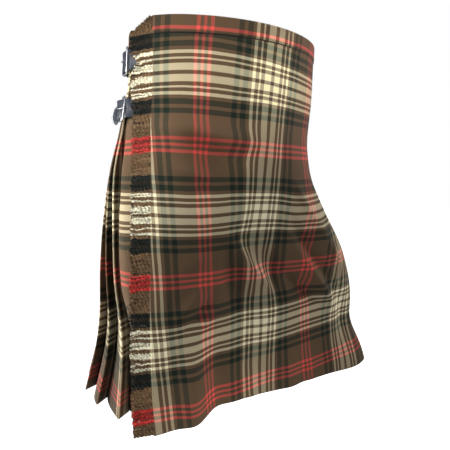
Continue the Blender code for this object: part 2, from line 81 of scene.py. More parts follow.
# A fold runs from one place to another. rise > 0 is a ridge and rise < 0 a trough, and fade is
# the share of its length over which it dies out at each end.
foldColumns = ("fromSide", "fromDrop", "toSide", "toDrop", "width", "rise", "fade")
apronFolds = {
    "hipHollow": (-70, 40, -80, 330, 50, -18, 0.5),
    "lapTrough": (-20, 190, -42, 760, 42, -14, 0.35),
    "hemRidge": (-128, 410, -142, 760, 22, 12, 0.5),
    "hemTrough": (-88, 420, -76, 760, 26, -15, 0.5),
    "hemHollow": (10, 470, 14, 760, 42, -6, 0.5),
    "dragFold": (-52, 325, 34, 455, 13, 6, 0.4),
    "leftSwell": (132, 260, 150, 520, 34, 7, 0.5),
    "cornerFlare": (200, 480, 262, 790, 52, 11, 0.5),
    "cornerPinch": (190, 430, 214, 610, 16, -7, 0.5),
    "rightSwing": (-175, 330, -205, 760, 34, 5, 0.4),
}
# Finer creases that only the looks have.
apronCreases = {
    "dragRidge": (-56, 322, 4, 452, 12, 8.0, 0.4),
    "dragRidge2": (-86, 306, 48, 452, 9, 5.5, 0.35),
    "dragValley": (6, 330, 40, 458, 13, -8.0, 0.4),
    "dragTrough": (-76, 350, -34, 474, 12, -4.0, 0.45),
    "slantValley": (14, 372, 150, 480, 12, -7.5, 0.4),
    "slantRidge": (62, 344, 184, 498, 15, 8.0, 0.4),
    "slantValley2": (34, 272, 206, 502, 13, -7.0, 0.35),
    "slantRidge3": (86, 262, 214, 440, 14, 5.0, 0.4),
    "slantRidge2": (60, 232, 122, 318, 9, 4.5, 0.45),
    "hipGather1": (168, 330, 176, 455, 5, 2.4, 0.45),
    "hipGather2": (180, 310, 187, 470, 4.5, -2.4, 0.45),
    "hipGather3": (191, 335, 199, 480, 5, 2.2, 0.45),
    "hipGather4": (204, 350, 208, 450, 4.5, -2.0, 0.45),
    "bellyRidge": (-205, 148, 10, 184, 16, 17.0, 0.35),
    "bellyTrough": (-165, 184, -10, 214, 13, -10.0, 0.45),
    "bellyRidge2": (-168, 204, -66, 246, 9, 5.5, 0.45),
    "bellyTrough2": (-160, 224, -76, 260, 8, -4.0, 0.45),
    "bellyRidge3": (-168, 236, -88, 268, 8, 2.8, 0.45),
    "lowSlant": (-168, 457, -98, 396, 9, 5.6, 0.45),
    "lowSlant2": (-152, 472, -82, 412, 8, -5.4, 0.45),
    "lowSlant3": (-136, 484, -72, 432, 8, 3.2, 0.45),
    "midSlant": (-158, 378, -86, 344, 12, 3.2, 0.5),
    "hemSoft1": (60, 500, 66, 700, 15, 2.0, 0.5),
    "hemSoft2": (92, 520, 98, 700, 12, -2.0, 0.5),
    "hemSoft3": (-18, 540, -12, 720, 10, 1.6, 0.5),
}


def smoothStep(start, end, value):
    t = np.clip((value - start) / (end - start), 0.0, 1.0)
    return t * t * (3 - 2 * t)


def readTable(rows, columns, name, drop):      # a smooth curve through one column
    drops = np.array([row[0] for row in rows], float)
    values = np.array([row[columns.index(name)] for row in rows], float)
    step = np.diff(drops)
    rate = np.diff(values) / step
    slope = np.empty(len(drops))
    slope[0], slope[-1] = rate[0], rate[-1]
    slope[1:-1] = (rate[:-1] * step[1:] + rate[1:] * step[:-1]) / (step[1:] + step[:-1])
    drop = np.asarray(drop, float)
    i = np.clip(np.searchsorted(drops, drop) - 1, 0, len(step) - 1)
    t = (drop - drops[i]) / step[i]
    start = values[i] * (1 + 2 * t) * (1 - t) ** 2 + slope[i] * step[i] * t * (1 - t) ** 2
    end = values[i + 1] * t * t * (3 - 2 * t) + slope[i + 1] * step[i] * t * t * (t - 1)
    return start + end


def section(name, drop):
    return float(readTable(sections, sectionColumns, name, drop))


def edge(name, drop):
    return np.maximum(readTable(edges, edgeColumns, name, drop), 0.0)


def formOutline(drop):
    angle = np.radians(np.linspace(-180, 180, 1441))
    across, ahead = np.sin(angle), np.cos(angle)
    square = np.where(ahead < 0, section("squareBack", drop),
                      np.where(across < 0, section("squareRight", drop),
                               section("squareLeft", drop)))
    wide = np.where(across < 0, section("right", drop), section("left", drop))
    deep = np.where(ahead > 0, section("front", drop), section("back", drop))
    x = wide * np.sign(across) * np.abs(across) ** (2 / square)
    y = section("centre", drop) - deep * np.sign(ahead) * np.abs(ahead) ** (2 / square)
    side = np.concatenate([[0], np.cumsum(np.hypot(np.diff(x), np.diff(y)))])
    middle = np.interp(section("apronMiddle", drop), x[ahead > 0], side[ahead > 0])
    return x, y, side - middle, side[-1]


formGrid = {"sides": (-1380.0, 340.0, 2.0), "dropStep": 6.0}      # first, last and step, mm


def buildForm():
    sides = np.arange(*formGrid["sides"])
    drops = np.arange(0.0, kilt["drop"] + formGrid["dropStep"], formGrid["dropStep"])
    middleX = (section("left", 0) - section("right", 0)) / 2
    middleY = section("centre", 0) + (section("back", 0) - section("front", 0)) / 2
    grid = []
    around = []
    for drop in drops:
        x, y, side, length = formOutline(drop)
        around.append(length)
        grid.append(np.stack([np.interp(sides, side, x - middleX, period=length),
                              np.interp(sides, side, y - middleY, period=length)], -1))
    grid = np.array(grid)
    along = np.gradient(grid, axis=1)
    along[:, 1:-1] = (along[:, :-2] + along[:, 1:-1] + along[:, 2:]) / 3
    along /= np.linalg.norm(along, axis=2, keepdims=True)
    outward = np.stack([along[:, :, 1], -along[:, :, 0]], axis=-1)
    return {"sides": sides, "drops": drops, "around": np.array(around), "grid": grid,
            "outward": outward}


form = buildForm()


def formAround(drop):
    return np.interp(drop, form["drops"], form["around"])


def formAt(side, drop, out):
    side, drop, out = np.broadcast_arrays(np.asarray(side, float), np.asarray(drop, float),
                                          np.asarray(out, float))
    a = (side - formGrid["sides"][0]) / formGrid["sides"][2]
    b = drop / formGrid["dropStep"]
    i = np.clip(b.astype(int), 0, len(form["drops"]) - 2)
    j = np.clip(a.astype(int), 0, len(form["sides"]) - 2)
    s, t = (b - i)[..., None], (a - j)[..., None]

    def read(table):
        upper = table[i, j] * (1 - t) + table[i, j + 1] * t
        lower = table[i + 1, j] * (1 - t) + table[i + 1, j + 1] * t
        return upper * (1 - s) + lower * s

    flat = read(form["grid"]) + out[..., None] * read(form["outward"])
    return np.concatenate([flat, -drop[..., None]], axis=-1)


def foldsAt(table, side, drop):
    total = 0.0
    for row in table.values():
        fold = dict(zip(foldColumns, row))
        runSide = fold["toSide"] - fold["fromSide"]
        runDrop = fold["toDrop"] - fold["fromDrop"]
        length = math.hypot(runSide, runDrop)
        fromSide, fromDrop = side - fold["fromSide"], drop - fold["fromDrop"]
        along = (fromSide * runSide + fromDrop * runDrop) / length ** 2
        away = (fromSide * runDrop - fromDrop * runSide) / length
        ends = smoothStep(0, fold["fade"], along) * smoothStep(0, fold["fade"], 1 - along)
        total = total + fold["rise"] * ends * np.exp(-((away / fold["width"]) ** 2))
    return total


def apronRise(side, drop):
    return foldsAt(apronFolds, side, drop) + foldsAt(apronCreases, side, drop)


def hipDip(side, drop):
    aroundHip = smoothStep(-90, -180, side) * smoothStep(-430, -310, side)
    return kilt["hipDip"] * aroundHip * (1 - smoothStep(0, 120, drop))


def innerOut(side, drop):      # the inner layers follow the apron's folds as far as its edge
    right = -edge("apronRight", drop)
    behindEdge = smoothStep(right + 90, right, side)
    pressed = foldsAt(apronFolds, side, drop) + np.minimum(foldsAt(apronCreases, side, drop), 0)
    folds = pressed * (1 - smoothStep(right - 5, right - 40, side))
    deeper = kilt["underDepth"] + kilt["hemSpare"] * smoothStep(300, kilt["drop"], drop)
    return folds - deeper - edge("tuckIn", drop) * behindEdge


# Functions that all pieces use.
def addObject(name, data):
    item = bpy.data.objects.new(name, data)
    bpy.context.scene.collection.objects.link(item)
    return item


def rideRoot(piece):
    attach(piece, "root")


def linear(hexCode):      # sRGB hex to the linear values Blender takes
    parts = [int(hexCode[i:i + 2], 16) / 255 for i in (1, 3, 5)]
    parts = [p / 12.92 if p <= 0.04045 else ((p + 0.055) / 1.055) ** 2.4 for p in parts]
    return (*parts, 1.0)


def setInputs(tree, node, inputs):
    for name, value in inputs.items():
        if isinstance(value, bpy.types.NodeSocket):
            tree.links.new(value, node.inputs[name])
        else:
            node.inputs[name].default_value = value


def addNode(tree, kind, settings=None, inputs=None):
    node = tree.nodes.new(kind)
    for name, value in (settings or {}).items():
        setattr(node, name, value)
    setInputs(tree, node, inputs or {})
    return node


def newMaterial(name):
    material = bpy.data.materials.new(name)
    material.use_nodes = True
    return material, material.node_tree, material.node_tree.nodes["Principled BSDF"]


def mathOf(tree, operation, *values):
    return addNode(tree, "ShaderNodeMath", {"operation": operation},
                   dict(enumerate(values))).outputs[0]


def noiseOf(tree, place, scale, detail=2.0, roughness=0.5, dimensions="3D"):
    return addNode(tree, "ShaderNodeTexNoise", {"noise_dimensions": dimensions},
                   {"Vector": place, "Scale": scale, "Detail": detail,
                    "Roughness": roughness}).outputs


def rangeOf(tree, value, low, high, start=0.0, end=1.0):
    return addNode(tree, "ShaderNodeMapRange", inputs={
        "Value": value, "From Min": start, "From Max": end, "To Min": low,
        "To Max": high}).outputs[0]


def mixOf(tree, first, second, factor=1.0, blend="MIX"):
    return addNode(tree, "ShaderNodeMix", {"data_type": "RGBA", "blend_type": blend},
                   {"Factor": factor, 6: first, 7: second}).outputs[2]


def bumpOf(tree, height, strength, distance):
    return addNode(tree, "ShaderNodeBump", inputs={"Height": height, "Strength": strength,
                                                   "Distance": distance}).outputs[0]


def attributeOf(tree, name):
    return addNode(tree, "ShaderNodeAttribute", {"attribute_name": name}).outputs["Fac"]


def placeOf(tree, layout=None):      # the object's own place, or the place on the flat material
    if layout is None:
        return addNode(tree, "ShaderNodeTexCoord").outputs["Object"]
    return addNode(tree, "ShaderNodeUVMap", {"uv_map": layout}).outputs["UV"]


# The woven check.
yarns = {
    "brown": "#604C38",
    "dark": "#13211B",
    "cream": "#FFF8D2",
    "red": "#EC5450",
}
# Half a repeat, from the brown line in the middle of the cream bars to the middle red line, as
# shares of the whole repeat: where each yarn starts. Beyond each end the sett is mirrored.
sett = (
    (0.0000, "brown"), (0.0135, "cream"), (0.0615, "brown"), (0.0890, "cream"),
    (0.1030, "brown"), (0.1285, "cream"), (0.1505, "brown"), (0.1770, "dark"),
    (0.2150, "brown"), (0.2420, "dark"), (0.2785, "brown"), (0.4430, "red"),
    (0.4650, "brown"), (0.4890, "red"),
)
weave = {
    "warpRepeat": 206.5,    # mm across the cloth
    "weftRepeat": 200.0,    # mm down the cloth
    "drift": 1.6,           # mm, how far a stripe strays from its line
    "thread": 0.62,         # mm from thread to thread, coarser than the real 0.35
    "twill": 4.0,           # threads in one step of the 2/2 twill
    "threadContrast": 0.16,      # between threads where warp or weft lies on top
    "weftShare": 0.56,      # of the weft in a mixed colour
    "tone": 2.2,            # threads mix in tones, so that the dark yarns stay strong
    "slub": 0.14,           # how uneven the yarn's tone is
    "foldShade": 0.6,          # how much painted shade darkens the cloth deep in a fold
    "sheen": "#D8C4A4",
}


def stripesOf(tree, way, repeat, colours):      # the yarn's colour at a place on its sett
    share = mathOf(tree, "DIVIDE", way, repeat * mm)
    half = mathOf(tree, "MULTIPLY", mathOf(tree, "PINGPONG", share, 0.5), 2.0)
    node = addNode(tree, "ShaderNodeValToRGB", inputs={"Fac": half})
    ramp = node.color_ramp
    ramp.interpolation = "CONSTANT"
    ramp.elements.remove(ramp.elements[1])
    for i, (place, yarn) in enumerate(sett):
        item = ramp.elements[0] if i == 0 else ramp.elements.new(2 * place)
        item.position = 2 * place
        item.color = linear(colours.get(place, colours[yarn]))
    return node.outputs["Color"]


def toneOf(tree, colour, gamma):
    return addNode(tree, "ShaderNodeGamma", inputs={"Color": colour, "Gamma": gamma}).outputs[0]


# Worsted wool in a 2/2 twill, pressed: the stripes of warp and weft mix where they cross, fine
# slanting ribs catch the light, and short nap gives it a soft sheen at the edges. Deep in the
# pleats' folds, painted shade darkens it.
def worstedCheck():
    material, tree, shader = newMaterial("worsted wool 2-2 twill")
    flat = placeOf(tree, "cloth")
    across, down = addNode(tree, "ShaderNodeSeparateXYZ", inputs={"Vector": flat}).outputs[:2]
    wobble = noiseOf(tree, flat, 22.0, dimensions="2D")["Fac"]
    drift = mathOf(tree, "MULTIPLY", mathOf(tree, "SUBTRACT", wobble, 0.5), weave["drift"] * mm)
    warp, weft = (toneOf(tree, stripesOf(tree, mathOf(tree, "ADD", way, drift), repeat, yarns),
                         1 / weave["tone"])
                  for way, repeat in ((across, weave["warpRepeat"]), (down, weave["weftRepeat"])))
    thread = weave["thread"] * mm
    step = [mathOf(tree, "FLOOR", mathOf(tree, "DIVIDE", way, thread)) for way in (across, down)]
    turn = mathOf(tree, "FRACT", mathOf(tree, "DIVIDE", mathOf(tree, "ADD", *step),
                                        weave["twill"]))
    onTop = mathOf(tree, "LESS_THAN", turn, 0.5)
    mix = mathOf(tree, "ADD", mathOf(tree, "MULTIPLY", onTop, weave["threadContrast"]),
                 weave["weftShare"] - weave["threadContrast"] / 2)
    cloud = noiseOf(tree, flat, 700.0, 3.0, 0.7, "2D")["Fac"]
    slub = rangeOf(tree, cloud, 1 - weave["slub"], 1 + weave["slub"])
    # painted shade: the cloth is darkened by how deep in a fold it lies
    lit = mathOf(tree, "SUBTRACT", 1.0, mathOf(tree, "MULTIPLY", attributeOf(tree, "foldShade"),
                                               weave["foldShade"]))
    yarnMixWithShade = mixOf(tree, mixOf(tree, warp, weft, mix), mathOf(tree, "MULTIPLY", slub, lit),
                 blend="MULTIPLY")
    ribs = mathOf(tree, "PINGPONG", mathOf(tree, "DIVIDE", mathOf(tree, "ADD", across, down),
                                           weave["twill"] * thread), 0.5)
    height = mathOf(tree, "ADD", ribs, mathOf(tree, "MULTIPLY", cloud, 0.8))
    setInputs(tree, shader, {
        "Base Color": toneOf(tree, yarnMixWithShade, weave["tone"]),
        "Normal": bumpOf(tree, height, 0.35, 0.0004), "Roughness": 0.86, "Sheen Weight": 0.05,
        "Sheen Roughness": 0.45, "Sheen Tint": linear(weave["sheen"]),
        "Specular IOR Level": 0.25})
    return material


cloth = worstedCheck()
print("worsted cloth made")


# Sheets of cloth.
def placeOnFlat(mesh, name, places):      # where each point lies on the flat material, in metres
    layout = mesh.uv_layers.new(name=name)
    corner = np.empty(len(mesh.loops), np.int32)
    mesh.loops.foreach_get("vertex_index", corner)
    layout.data.foreach_set("uv", np.asarray(places, np.float32)[corner].ravel())


def addAttribute(mesh, name, kind, key, values):
    attribute = mesh.attributes.new(name, kind, "POINT")
    attribute.data.foreach_set(key, np.asarray(values, np.float32).ravel())


# points is a grid of places in mm, top row first, and flat the same grid on the uncut cloth.
# The last argument tells how deep in a fold each point lies, from 0 to 1; the material darkens the
# cloth by it as painted shade.
def sheetPiece(name, node, points, flat, wall, side=-1.0, foldShade=None):
    rows, columns = points.shape[:2]
    mesh = bpy.data.meshes.new(name)
    faces = []
    for i in range(rows - 1):
        for j in range(columns - 1):
            a = i * columns + j
            faces.append((a, a + columns, a + columns + 1, a + 1))
    mesh.from_pydata((points.reshape(-1, 3) * mm).tolist(), [], faces)
    mesh.materials.append(cloth)
    placeOnFlat(mesh, "cloth", flat.reshape(-1, 2) * mm)
    if foldShade is not None:
        addAttribute(mesh, "foldShade", "FLOAT", "value", foldShade)
    mesh.shade_smooth()
    piece = addObject(name, mesh)
    thick = piece.modifiers.new("cloth wall", "SOLIDIFY")
    thick.thickness = wall * mm
    thick.offset = side
    thick.use_even_offset = False
    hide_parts(node)
    rideRoot(piece)
    return piece


# Aprons.
apron = {"columns": 118, "rows": 156}
underPanel = {
    "columns": 76,
    "rows": 84,
    "shorter": 12.0,        # than the apron, at the hem
    "left": 178.0,          # its end on the left hip
    "flare": 12.0,          # how much further it reaches at the hem
    "rightIn": 8.0,         # its right edge lies this far inside the apron's
    "gap": 0.15,            # mm from that line, where the side panel ends too
}

# Where the stripes of the cloth lie on the worn apron. The panel is shaped, so its warp leans
# to the hem at the fringe, and the weft sags between the places where the cloth is held.
warpColumns = ("drop", "edgeCream", "rightRed", "barsStart", "bars", "barsEnd", "leftDark",
               "leftRed", "leftBars")
warpFlat = (-177.7, -103.25, -28.8, 0.0, 28.8, 47.2, 103.25, 206.5)       # on the uncut cloth
warpPlaces = (
    (0, -199, -117, -34, 3, 38, 55, 110, 207),
    (80, -196, -116, -32, 3, 36, 53, 115, 207),
    (185, -188, -111, -30, 1, 31, 48, 116, 207),
    (288, -179, -106, -29, -2, 26, 44, 114, 205),
    (335, -177, -105, -35, -5, 22, 40, 104, 201),
    (396, -175, -105, -24, -1, 21, 39, 96, 198),
    (452, -175, -104, -25, 3, 30, 46, 93, 193),
    (486, -174, -103, -26, 3, 29, 46, 95, 190),
    (618, -170, -96, -29, 2, 28, 48, 109, 200),
)
weftColumns = ("side", "cream1", "red1", "cream2", "red2", "cream3", "red3")
weftFlat = (0.0, 100.0, 200.0, 300.0, 400.0, 500.0)
weftPlaces = (
    (-200, 80, 181, 286, 385, 486, 585),
    (-110, 78, 184, 291, 388, 485, 593),
    (-30, 83, 188, 289, 391, 488, 594),
    (30, 87, 190, 291, 389, 487, 587),
    (68, 89, 191, 297, 389, 484, 586),
    (105, 90, 191, 298, 389, 481, 586),
    (200, 86, 191, 293, 388, 481, 578),
    (270, 86, 191, 292, 388, 482, 578),
)


def betweenPlaces(value, places, flat):      # flat place of a value that lies between stripes
    total = flat[0] + value - places[0]
    for a, b, start, end in zip(places, places[1:], flat, flat[1:]):
        past = np.clip(value - a, 0, b - a)
        total = total + past * ((end - start) / (b - a) - 1)
    return total


def apronFlat(side, drop):
    side, drop = np.broadcast_arrays(side, drop)
    warp = [readTable(warpPlaces, warpColumns, name, drop) for name in warpColumns[1:]]
    weft = [readTable(weftPlaces, weftColumns, name, side) for name in weftColumns[1:]]
    return np.stack([betweenPlaces(side, warp, warpFlat), betweenPlaces(drop, weft, weftFlat)],
                    axis=-1)


def makeOverApron():
    drop = np.linspace(kilt["cutTop"], kilt["drop"], apron["rows"])[:, None]
    share = np.linspace(0, 1, apron["columns"])[None, :]
    left, right = edge("apronLeft", drop), -edge("apronRight", drop)
    side = right + (left - right) * share
    drop = np.broadcast_to(drop, side.shape)
    points = formAt(side, drop, apronRise(side, drop))
    return sheetPiece("overApronCloth", "over_apron", points, apronFlat(side, drop),
                      kilt["apronWall"])


def underApronRight(drop):
    return -edge("apronRight", drop) + underPanel["rightIn"]


def makeUnderApron():
    bottom = kilt["drop"] - underPanel["shorter"]
    drop = np.linspace(kilt["cutTop"], bottom, underPanel["rows"])[:, None]
    share = np.linspace(0, 1, underPanel["columns"])[None, :]
    left = underPanel["left"] + underPanel["flare"] * drop / kilt["drop"]
    right = underApronRight(drop) + underPanel["gap"]
    side = right + (left - right) * share
    nominal = np.broadcast_to(drop, side.shape)
    drop = nominal + hipDip(side, nominal)
    points = formAt(side, drop, innerOut(side, drop) + kilt["innerWall"] / 2)
    flat = np.stack([-side, nominal - kilt["creamAt"]], axis=-1)
    return sheetPiece("underApronCloth", "under_apron", points, flat, kilt["innerWall"])


# Pleats and the side panel before them.
pleats = {
    "count": 20,
    "rows": 90,
    "wall": 1.3,
    "gap": 0.8,             # air between two layers
    "lap": 0.6,             # how far a pleat runs under the next, as a share of the pitch
    "mostLap": 12.0,        # mm
    "fell": 165.0,          # sewn flat from the waist to here
    "fellEnd": (-15.0, 110.0),      # above and below it, where the pleats start to open
    "openDepth": 21.0,      # of the inner folds at the hem
    "firstSpread": 20.0,    # how much further apart the first pleats hang at the hem
    "firstAcross": 226.5,   # mm, where the first fold lies on the cloth, all the way down
    "sway": ((2.2, 2.4), (1.3, 5.1)),      # uneven spacing of the open edges, mm and rate
    "rise": (1.4, 3.7),     # uneven lift of the open edges, mm and rate
    "edge": 0.6,            # half the width of a pressed edge
    "faceBow": 0.08,        # of an open pleat's face, as a share of its depth
    "foldBow": 0.4,         # mm, of the inner layer
    "hook": 2.6,            # where the two halves meet, one hooks round the other
}
layerStep = pleats["wall"] + pleats["gap"]
sidePiece = {
    "columns": 36,
    "lap": 8.0,             # how far it runs on under the first pleat's fold
    "gap": 0.3,             # mm from the line where the under apron ends
    "across": 167.0,        # shifts its stripes to those of the apron
    "swell": 6.0,           # mm, over the right hip, between the sides and drops below
    "swellSide": (-212.0, -243.0),
    "swellTop": (150.0, 230.0),
    "swellEnd": (400.0, 480.0),
    "tuck": (14.0, 1.0),    # mm before the first pleat's edge, where it goes under
}


def pleatRow(drop):
    row = {"drop": drop, "start": float(edge("firstPleat", drop))}
    row["length"] = formAround(drop) - row["start"] - float(edge("apronLeft", drop))
    row["pitch"] = row["length"] / pleats["count"]
    row["lap"] = min(pleats["lap"] * row["pitch"], pleats["mostLap"])
    start, end = pleats["fellEnd"]
    row["opened"] = float(smoothStep(pleats["fell"] + start, pleats["fell"] + end, drop))
    flat = 2 * layerStep * (row["pitch"] + row["lap"]) / row["pitch"]
    row["depth"] = flat + (pleats["openDepth"] - flat) * row["opened"]
    return row


def pleatEdge(row, k):
    spread = float(smoothStep(-0.6, 2.4, k) - smoothStep(-0.6, 2.4, 0))
    spread *= pleats["firstSpread"] * (1 - k / pleats["count"])
    sway = sum(most * math.sin(rate * k) for most, rate in pleats["sway"])
    return k * row["pitch"] + row["opened"] * (spread + sway * (0 < k < pleats["count"]))


def pleatLift(row, k):
    spring = float(edge("spring", row["drop"])) * (1 - k / (pleats["count"] - 1))
    most, rate = pleats["rise"]
    return spring + row["opened"] * (most * math.sin(rate * k + 1) - 1.0)


def pleatTuck(row, along):
    return edge("tuckIn", row["drop"]) * (1 - smoothStep(-20, 95, along))


# One level of a half's cloth, from pleat to pleat: along the body, off its form, on the uncut
# cloth and how deep in a fold, which sets the painted shade there.
def pleatPath(row, first, last, hipPitch):
    path = []

    # start and end are places (along, out, across, and depth in the fold for the painted shade)
    def run(start, end, steps, bow=0.0):
        for t in np.linspace(0, 1, steps):
            place = [a + (b - a) * t for a, b in zip(start, end)]
            place[1] += bow * math.sin(math.pi * t)
            path.append(place)

    inside, middle = -row["depth"], layerStep - row["depth"]
    for k in range(first, last):
        here, following = pleatEdge(row, k), pleatEdge(row, k + 1)
        lift, pressed = pleatLift(row, k), here + pleats["edge"]
        across = k * hipPitch + pleats["firstAcross"]
        fold = here + row["lap"]
        deep = math.hypot(row["lap"], lift - row["depth"])
        if k == first and k > 0:        # turns in past the end of the other half
            run((fold, inside + 0.5, across - deep - 1.8, 1.0),
                (fold, inside + 0.7 * layerStep, across - deep - 0.8, 1.0), 2)
        run((fold, middle, across - deep, 1.0), (pressed, lift - layerStep, across - 1.5, 0.0), 5,
            -pleats["foldBow"] * row["opened"])
        # round the pressed edge
        run((here - 0.35, lift - 0.72 * layerStep, across - 0.8, 0.0),
            (here - 0.35, lift - 0.28 * layerStep, across + 0.2, 0.0), 2)
        if k < pleats["count"] - 1:
            hook = pleats["hook"] * (k == last - 1)
            fold = following + row["lap"] - hook
            wide = across + math.hypot(fold - here, lift + row["depth"])
            run((pressed, lift, across + 1, 0.0), (fold, inside, wide, 1.0), 11,
                pleats["faceBow"] * (row["depth"] + lift))
            if hook:                    # round that turn, so that no light comes through
                run((fold + hook, inside - 1.7, wide + 3, 1.0),
                    (fold + 2 * hook, inside + layerStep / 2, wide + 7, 1.0), 4)
        else:                           # the last pleat ends inside the apron
            under = pleats["wall"] / 2 - kilt["underDepth"] - kilt["hemSpare"] * row["opened"]
            end, across = row["length"], across + row["pitch"]
            run((pressed, lift, across - row["pitch"] + 1, 0.0), (end - 3, under, across, 0.0), 9)
            run((end + 3, under, across + 6, 0.0), (end + 14, under, across + 17, 0.0), 3)
    along, out, across, foldShade = np.array(path).T
    return along, out, across, foldShade * row["opened"]


def makePleats(name, node, first, last):
    hipPitch = pleatRow(pleats["fell"])["pitch"]
    points, flat, foldShade = [], [], []
    for drop in np.linspace(kilt["cutTop"], kilt["drop"], pleats["rows"]):
        row = pleatRow(drop)
        along, out, across, deep = pleatPath(row, first, last, hipPitch)
        side = -row["start"] - along
        out = out - pleats["wall"] / 2 - pleatTuck(row, along)
        points.append(formAt(side, drop + hipDip(side, drop), out)[::-1])
        flat.append([(-place, drop - kilt["creamAt"]) for place in across[::-1]])
        # how deep in a fold, for the painted shade
        foldShade.append(deep[::-1])
    points = np.array(points)
    piece = sheetPiece(name, node, points, np.array(flat), kilt["innerWall"], 0.0, foldShade)
    return piece


def underPleat(side, row):
    start, end = sidePiece["tuck"]
    return smoothStep(-row["start"] + start, -row["start"] + end, side)


def sideOut(side, row):
    swell = smoothStep(*sidePiece["swellSide"], side)
    swell *= 1 - smoothStep(*sidePiece["swellEnd"], row["drop"])
    swell *= sidePiece["swell"] * smoothStep(*sidePiece["swellTop"], row["drop"])
    flat = innerOut(side, row["drop"]) + swell
    fold = -row["depth"] - pleats["wall"] / 2 - pleatTuck(row, -row["start"] - side)
    return flat + (fold - flat) * underPleat(side, row)


def makeSidePanel():
    points, flat, foldShade = [], [], []
    for drop in np.linspace(kilt["cutTop"], kilt["drop"], pleats["rows"]):
        row = pleatRow(drop)
        side = np.linspace(-row["start"] - row["lap"] - sidePiece["lap"],
                           underApronRight(drop) - sidePiece["gap"], sidePiece["columns"])
        points.append(formAt(side, drop + hipDip(side, drop),
                             sideOut(side, row) + kilt["innerWall"] / 2))
        flat.append([(-place - sidePiece["across"], drop - kilt["creamAt"]) for place in side])
        # painted shade where the panel goes in under the first pleat
        foldShade.append(underPleat(side, row) * row["opened"])
    return sheetPiece("sidePanelCloth", "side_panel", np.array(points), np.array(flat),
                      kilt["innerWall"], foldShade=foldShade)


half = pleats["count"] // 2
overApron = makeOverApron()
underApron = makeUnderApron()
sidePanel = makeSidePanel()
pleatsRight = makePleats("pleatsRightCloth", "pleats_right", 0, half)
pleatsLeft = makePleats("pleatsLeftCloth", "pleats_left", half, pleats["count"])
print("aprons, side panel and pleats made")


# Waistbands.
bands = {
    "wall": 0.9,
    "clear": 0.3,           # between the band and the cloth it is sewn over
    "redAt": 17.5,          # the red line of the band, below the top edge
    "redShare": 0.454,      # where that line lies on the sett
    "turnOver": 2.0,        # of cloth that goes over the top edge
    "samples": {"front": 120, "under": 110, "half": 90},
    "underEnds": (-236.0, 178.0),
    "rightEnd": 238.0,
    "pleatTop": 12.0,       # drop at which the inner layers' depth is taken
    "halfOut": 0.45,        # of the pleats' sewn face
}
# The band goes up the body's side of the cloth, over its top edge and down its face: the side,
# how far in from the band's own face, and the drop.
bandProfile = (
    ("back", 0.6, 24.0), ("back", 0.1, 23.0), ("back", 0.0, 12.0), ("back", 0.0, 3.0),
    ("back", 0.4, 1.2), ("back", 1.3, 0.1), ("front", 1.3, 0.1), ("front", 0.45, 0.9),
    ("front", 0.1, 2.2), ("front", 0.0, 5.0), ("front", 0.05, 12.0), ("front", 0.0, 18.0),
    ("front", 0.0, 21.6), ("front", 0.25, 23.2), ("front", 0.8, 24.0),
)


# the ditch row is a real seam whose overlapping near-black stitches also stand in as painted shade
# under the band
seams = {"edge": (22.0, []), "ditchShade": (24.5, [])}      # drop and rows of the band's stitches


def makeBand(name, node, side, frontFace, backFace, across, dips=True):
    over = bands["clear"] + bands["wall"]

    def atDrop(nominal, out):
        return formAt(side, nominal + (hipDip(side, nominal) if dips else 0.0), out)

    for (nominal, rows), out in zip(seams.values(), (over - 0.05, 0.35)):
        rows.append(atDrop(nominal, frontFace + out)[1:-1] * mm)
    points, down = [], []
    for face, inset, nominal in bandProfile:
        front = face == "front"
        points.append(atDrop(nominal, frontFace + over - inset if front
                             else backFace - over + inset))
        down.append(nominal if front else -nominal - bands["turnOver"])
    weft = bands["redShare"] * weave["weftRepeat"] - bands["redAt"] + np.array(down)
    flat = np.stack(np.broadcast_arrays(across[None, :], weft[:, None]), axis=-1)
    return sheetPiece(name, node, np.array(points), flat, bands["wall"])


def makeBands():
    samples = bands["samples"]
    around, left, right = (float(size) for size in (
        formAround(0), edge("apronLeft", 0), edge("apronRight", 0)))
    side = np.linspace(-right, left, samples["front"])
    rise = apronRise(side, 6.0)
    front = makeBand("waistbandFrontCloth", "waistband_front", side, rise,
                     rise - kilt["apronWall"], apronFlat(side, 4.0)[:, 0] - 1.5, False)
    side = np.linspace(*bands["underEnds"], samples["under"])
    row = pleatRow(bands["pleatTop"])
    middle, wall = sideOut(side, row), kilt["innerWall"] / 2
    under = makeBand("waistbandUnderCloth", "waistband_under", side, middle + wall,
                     middle - wall, -side)
    middle = left + (around - left - float(edge("firstPleat", 0))) / 2
    made = [front, under]
    for label, start, end in (("Left", left + 0.3, middle - 0.15),
                              ("Right", middle + 0.15, around - bands["rightEnd"])):
        side = np.linspace(start, end, samples["half"]) - around
        made.append(makeBand("waistband" + label + "Cloth", "waistband_" + label.lower(), side,
                             0 * side + bands["halfOut"],
                             0 * side - row["depth"] - pleats["wall"], side))
    return made


waistbands = makeBands()
print("waistbands made")


# Yarns and stitches are grown by geometry nodes on a guide of points or lines.
def newTree(name, sizes, counts=()):      # a tree with a named input for each value
    tree = bpy.data.node_groups.new(name, "GeometryNodeTree")
    for kind, labels in (("Geometry", ["Geometry"]), ("Float", sizes), ("Int", counts),
                         ("Material", ["Finish"])):
        for label in labels:
            tree.interface.new_socket(label, in_out="INPUT", socket_type="NodeSocket" + kind)
    tree.interface.new_socket("Geometry", in_out="OUTPUT", socket_type="NodeSocketGeometry")
    return tree, tree.nodes.new("NodeGroupInput").outputs


def endTree(tree, instances, given, push=None):
    grown = addNode(tree, "GeometryNodeRealizeInstances", inputs={"Geometry": instances})
    if push is not None:
        grown = addNode(tree, "GeometryNodeSetPosition",
                        inputs={"Geometry": grown.outputs[0], "Offset": push})
    smooth = addNode(tree, "GeometryNodeSetShadeSmooth", inputs={"Geometry": grown.outputs[0]})
    finish = addNode(tree, "GeometryNodeSetMaterial", inputs={"Geometry": smooth.outputs[0],
                                                              "Material": given["Finish"]})
    addNode(tree, "NodeGroupOutput", inputs={"Geometry": finish.outputs[0]})


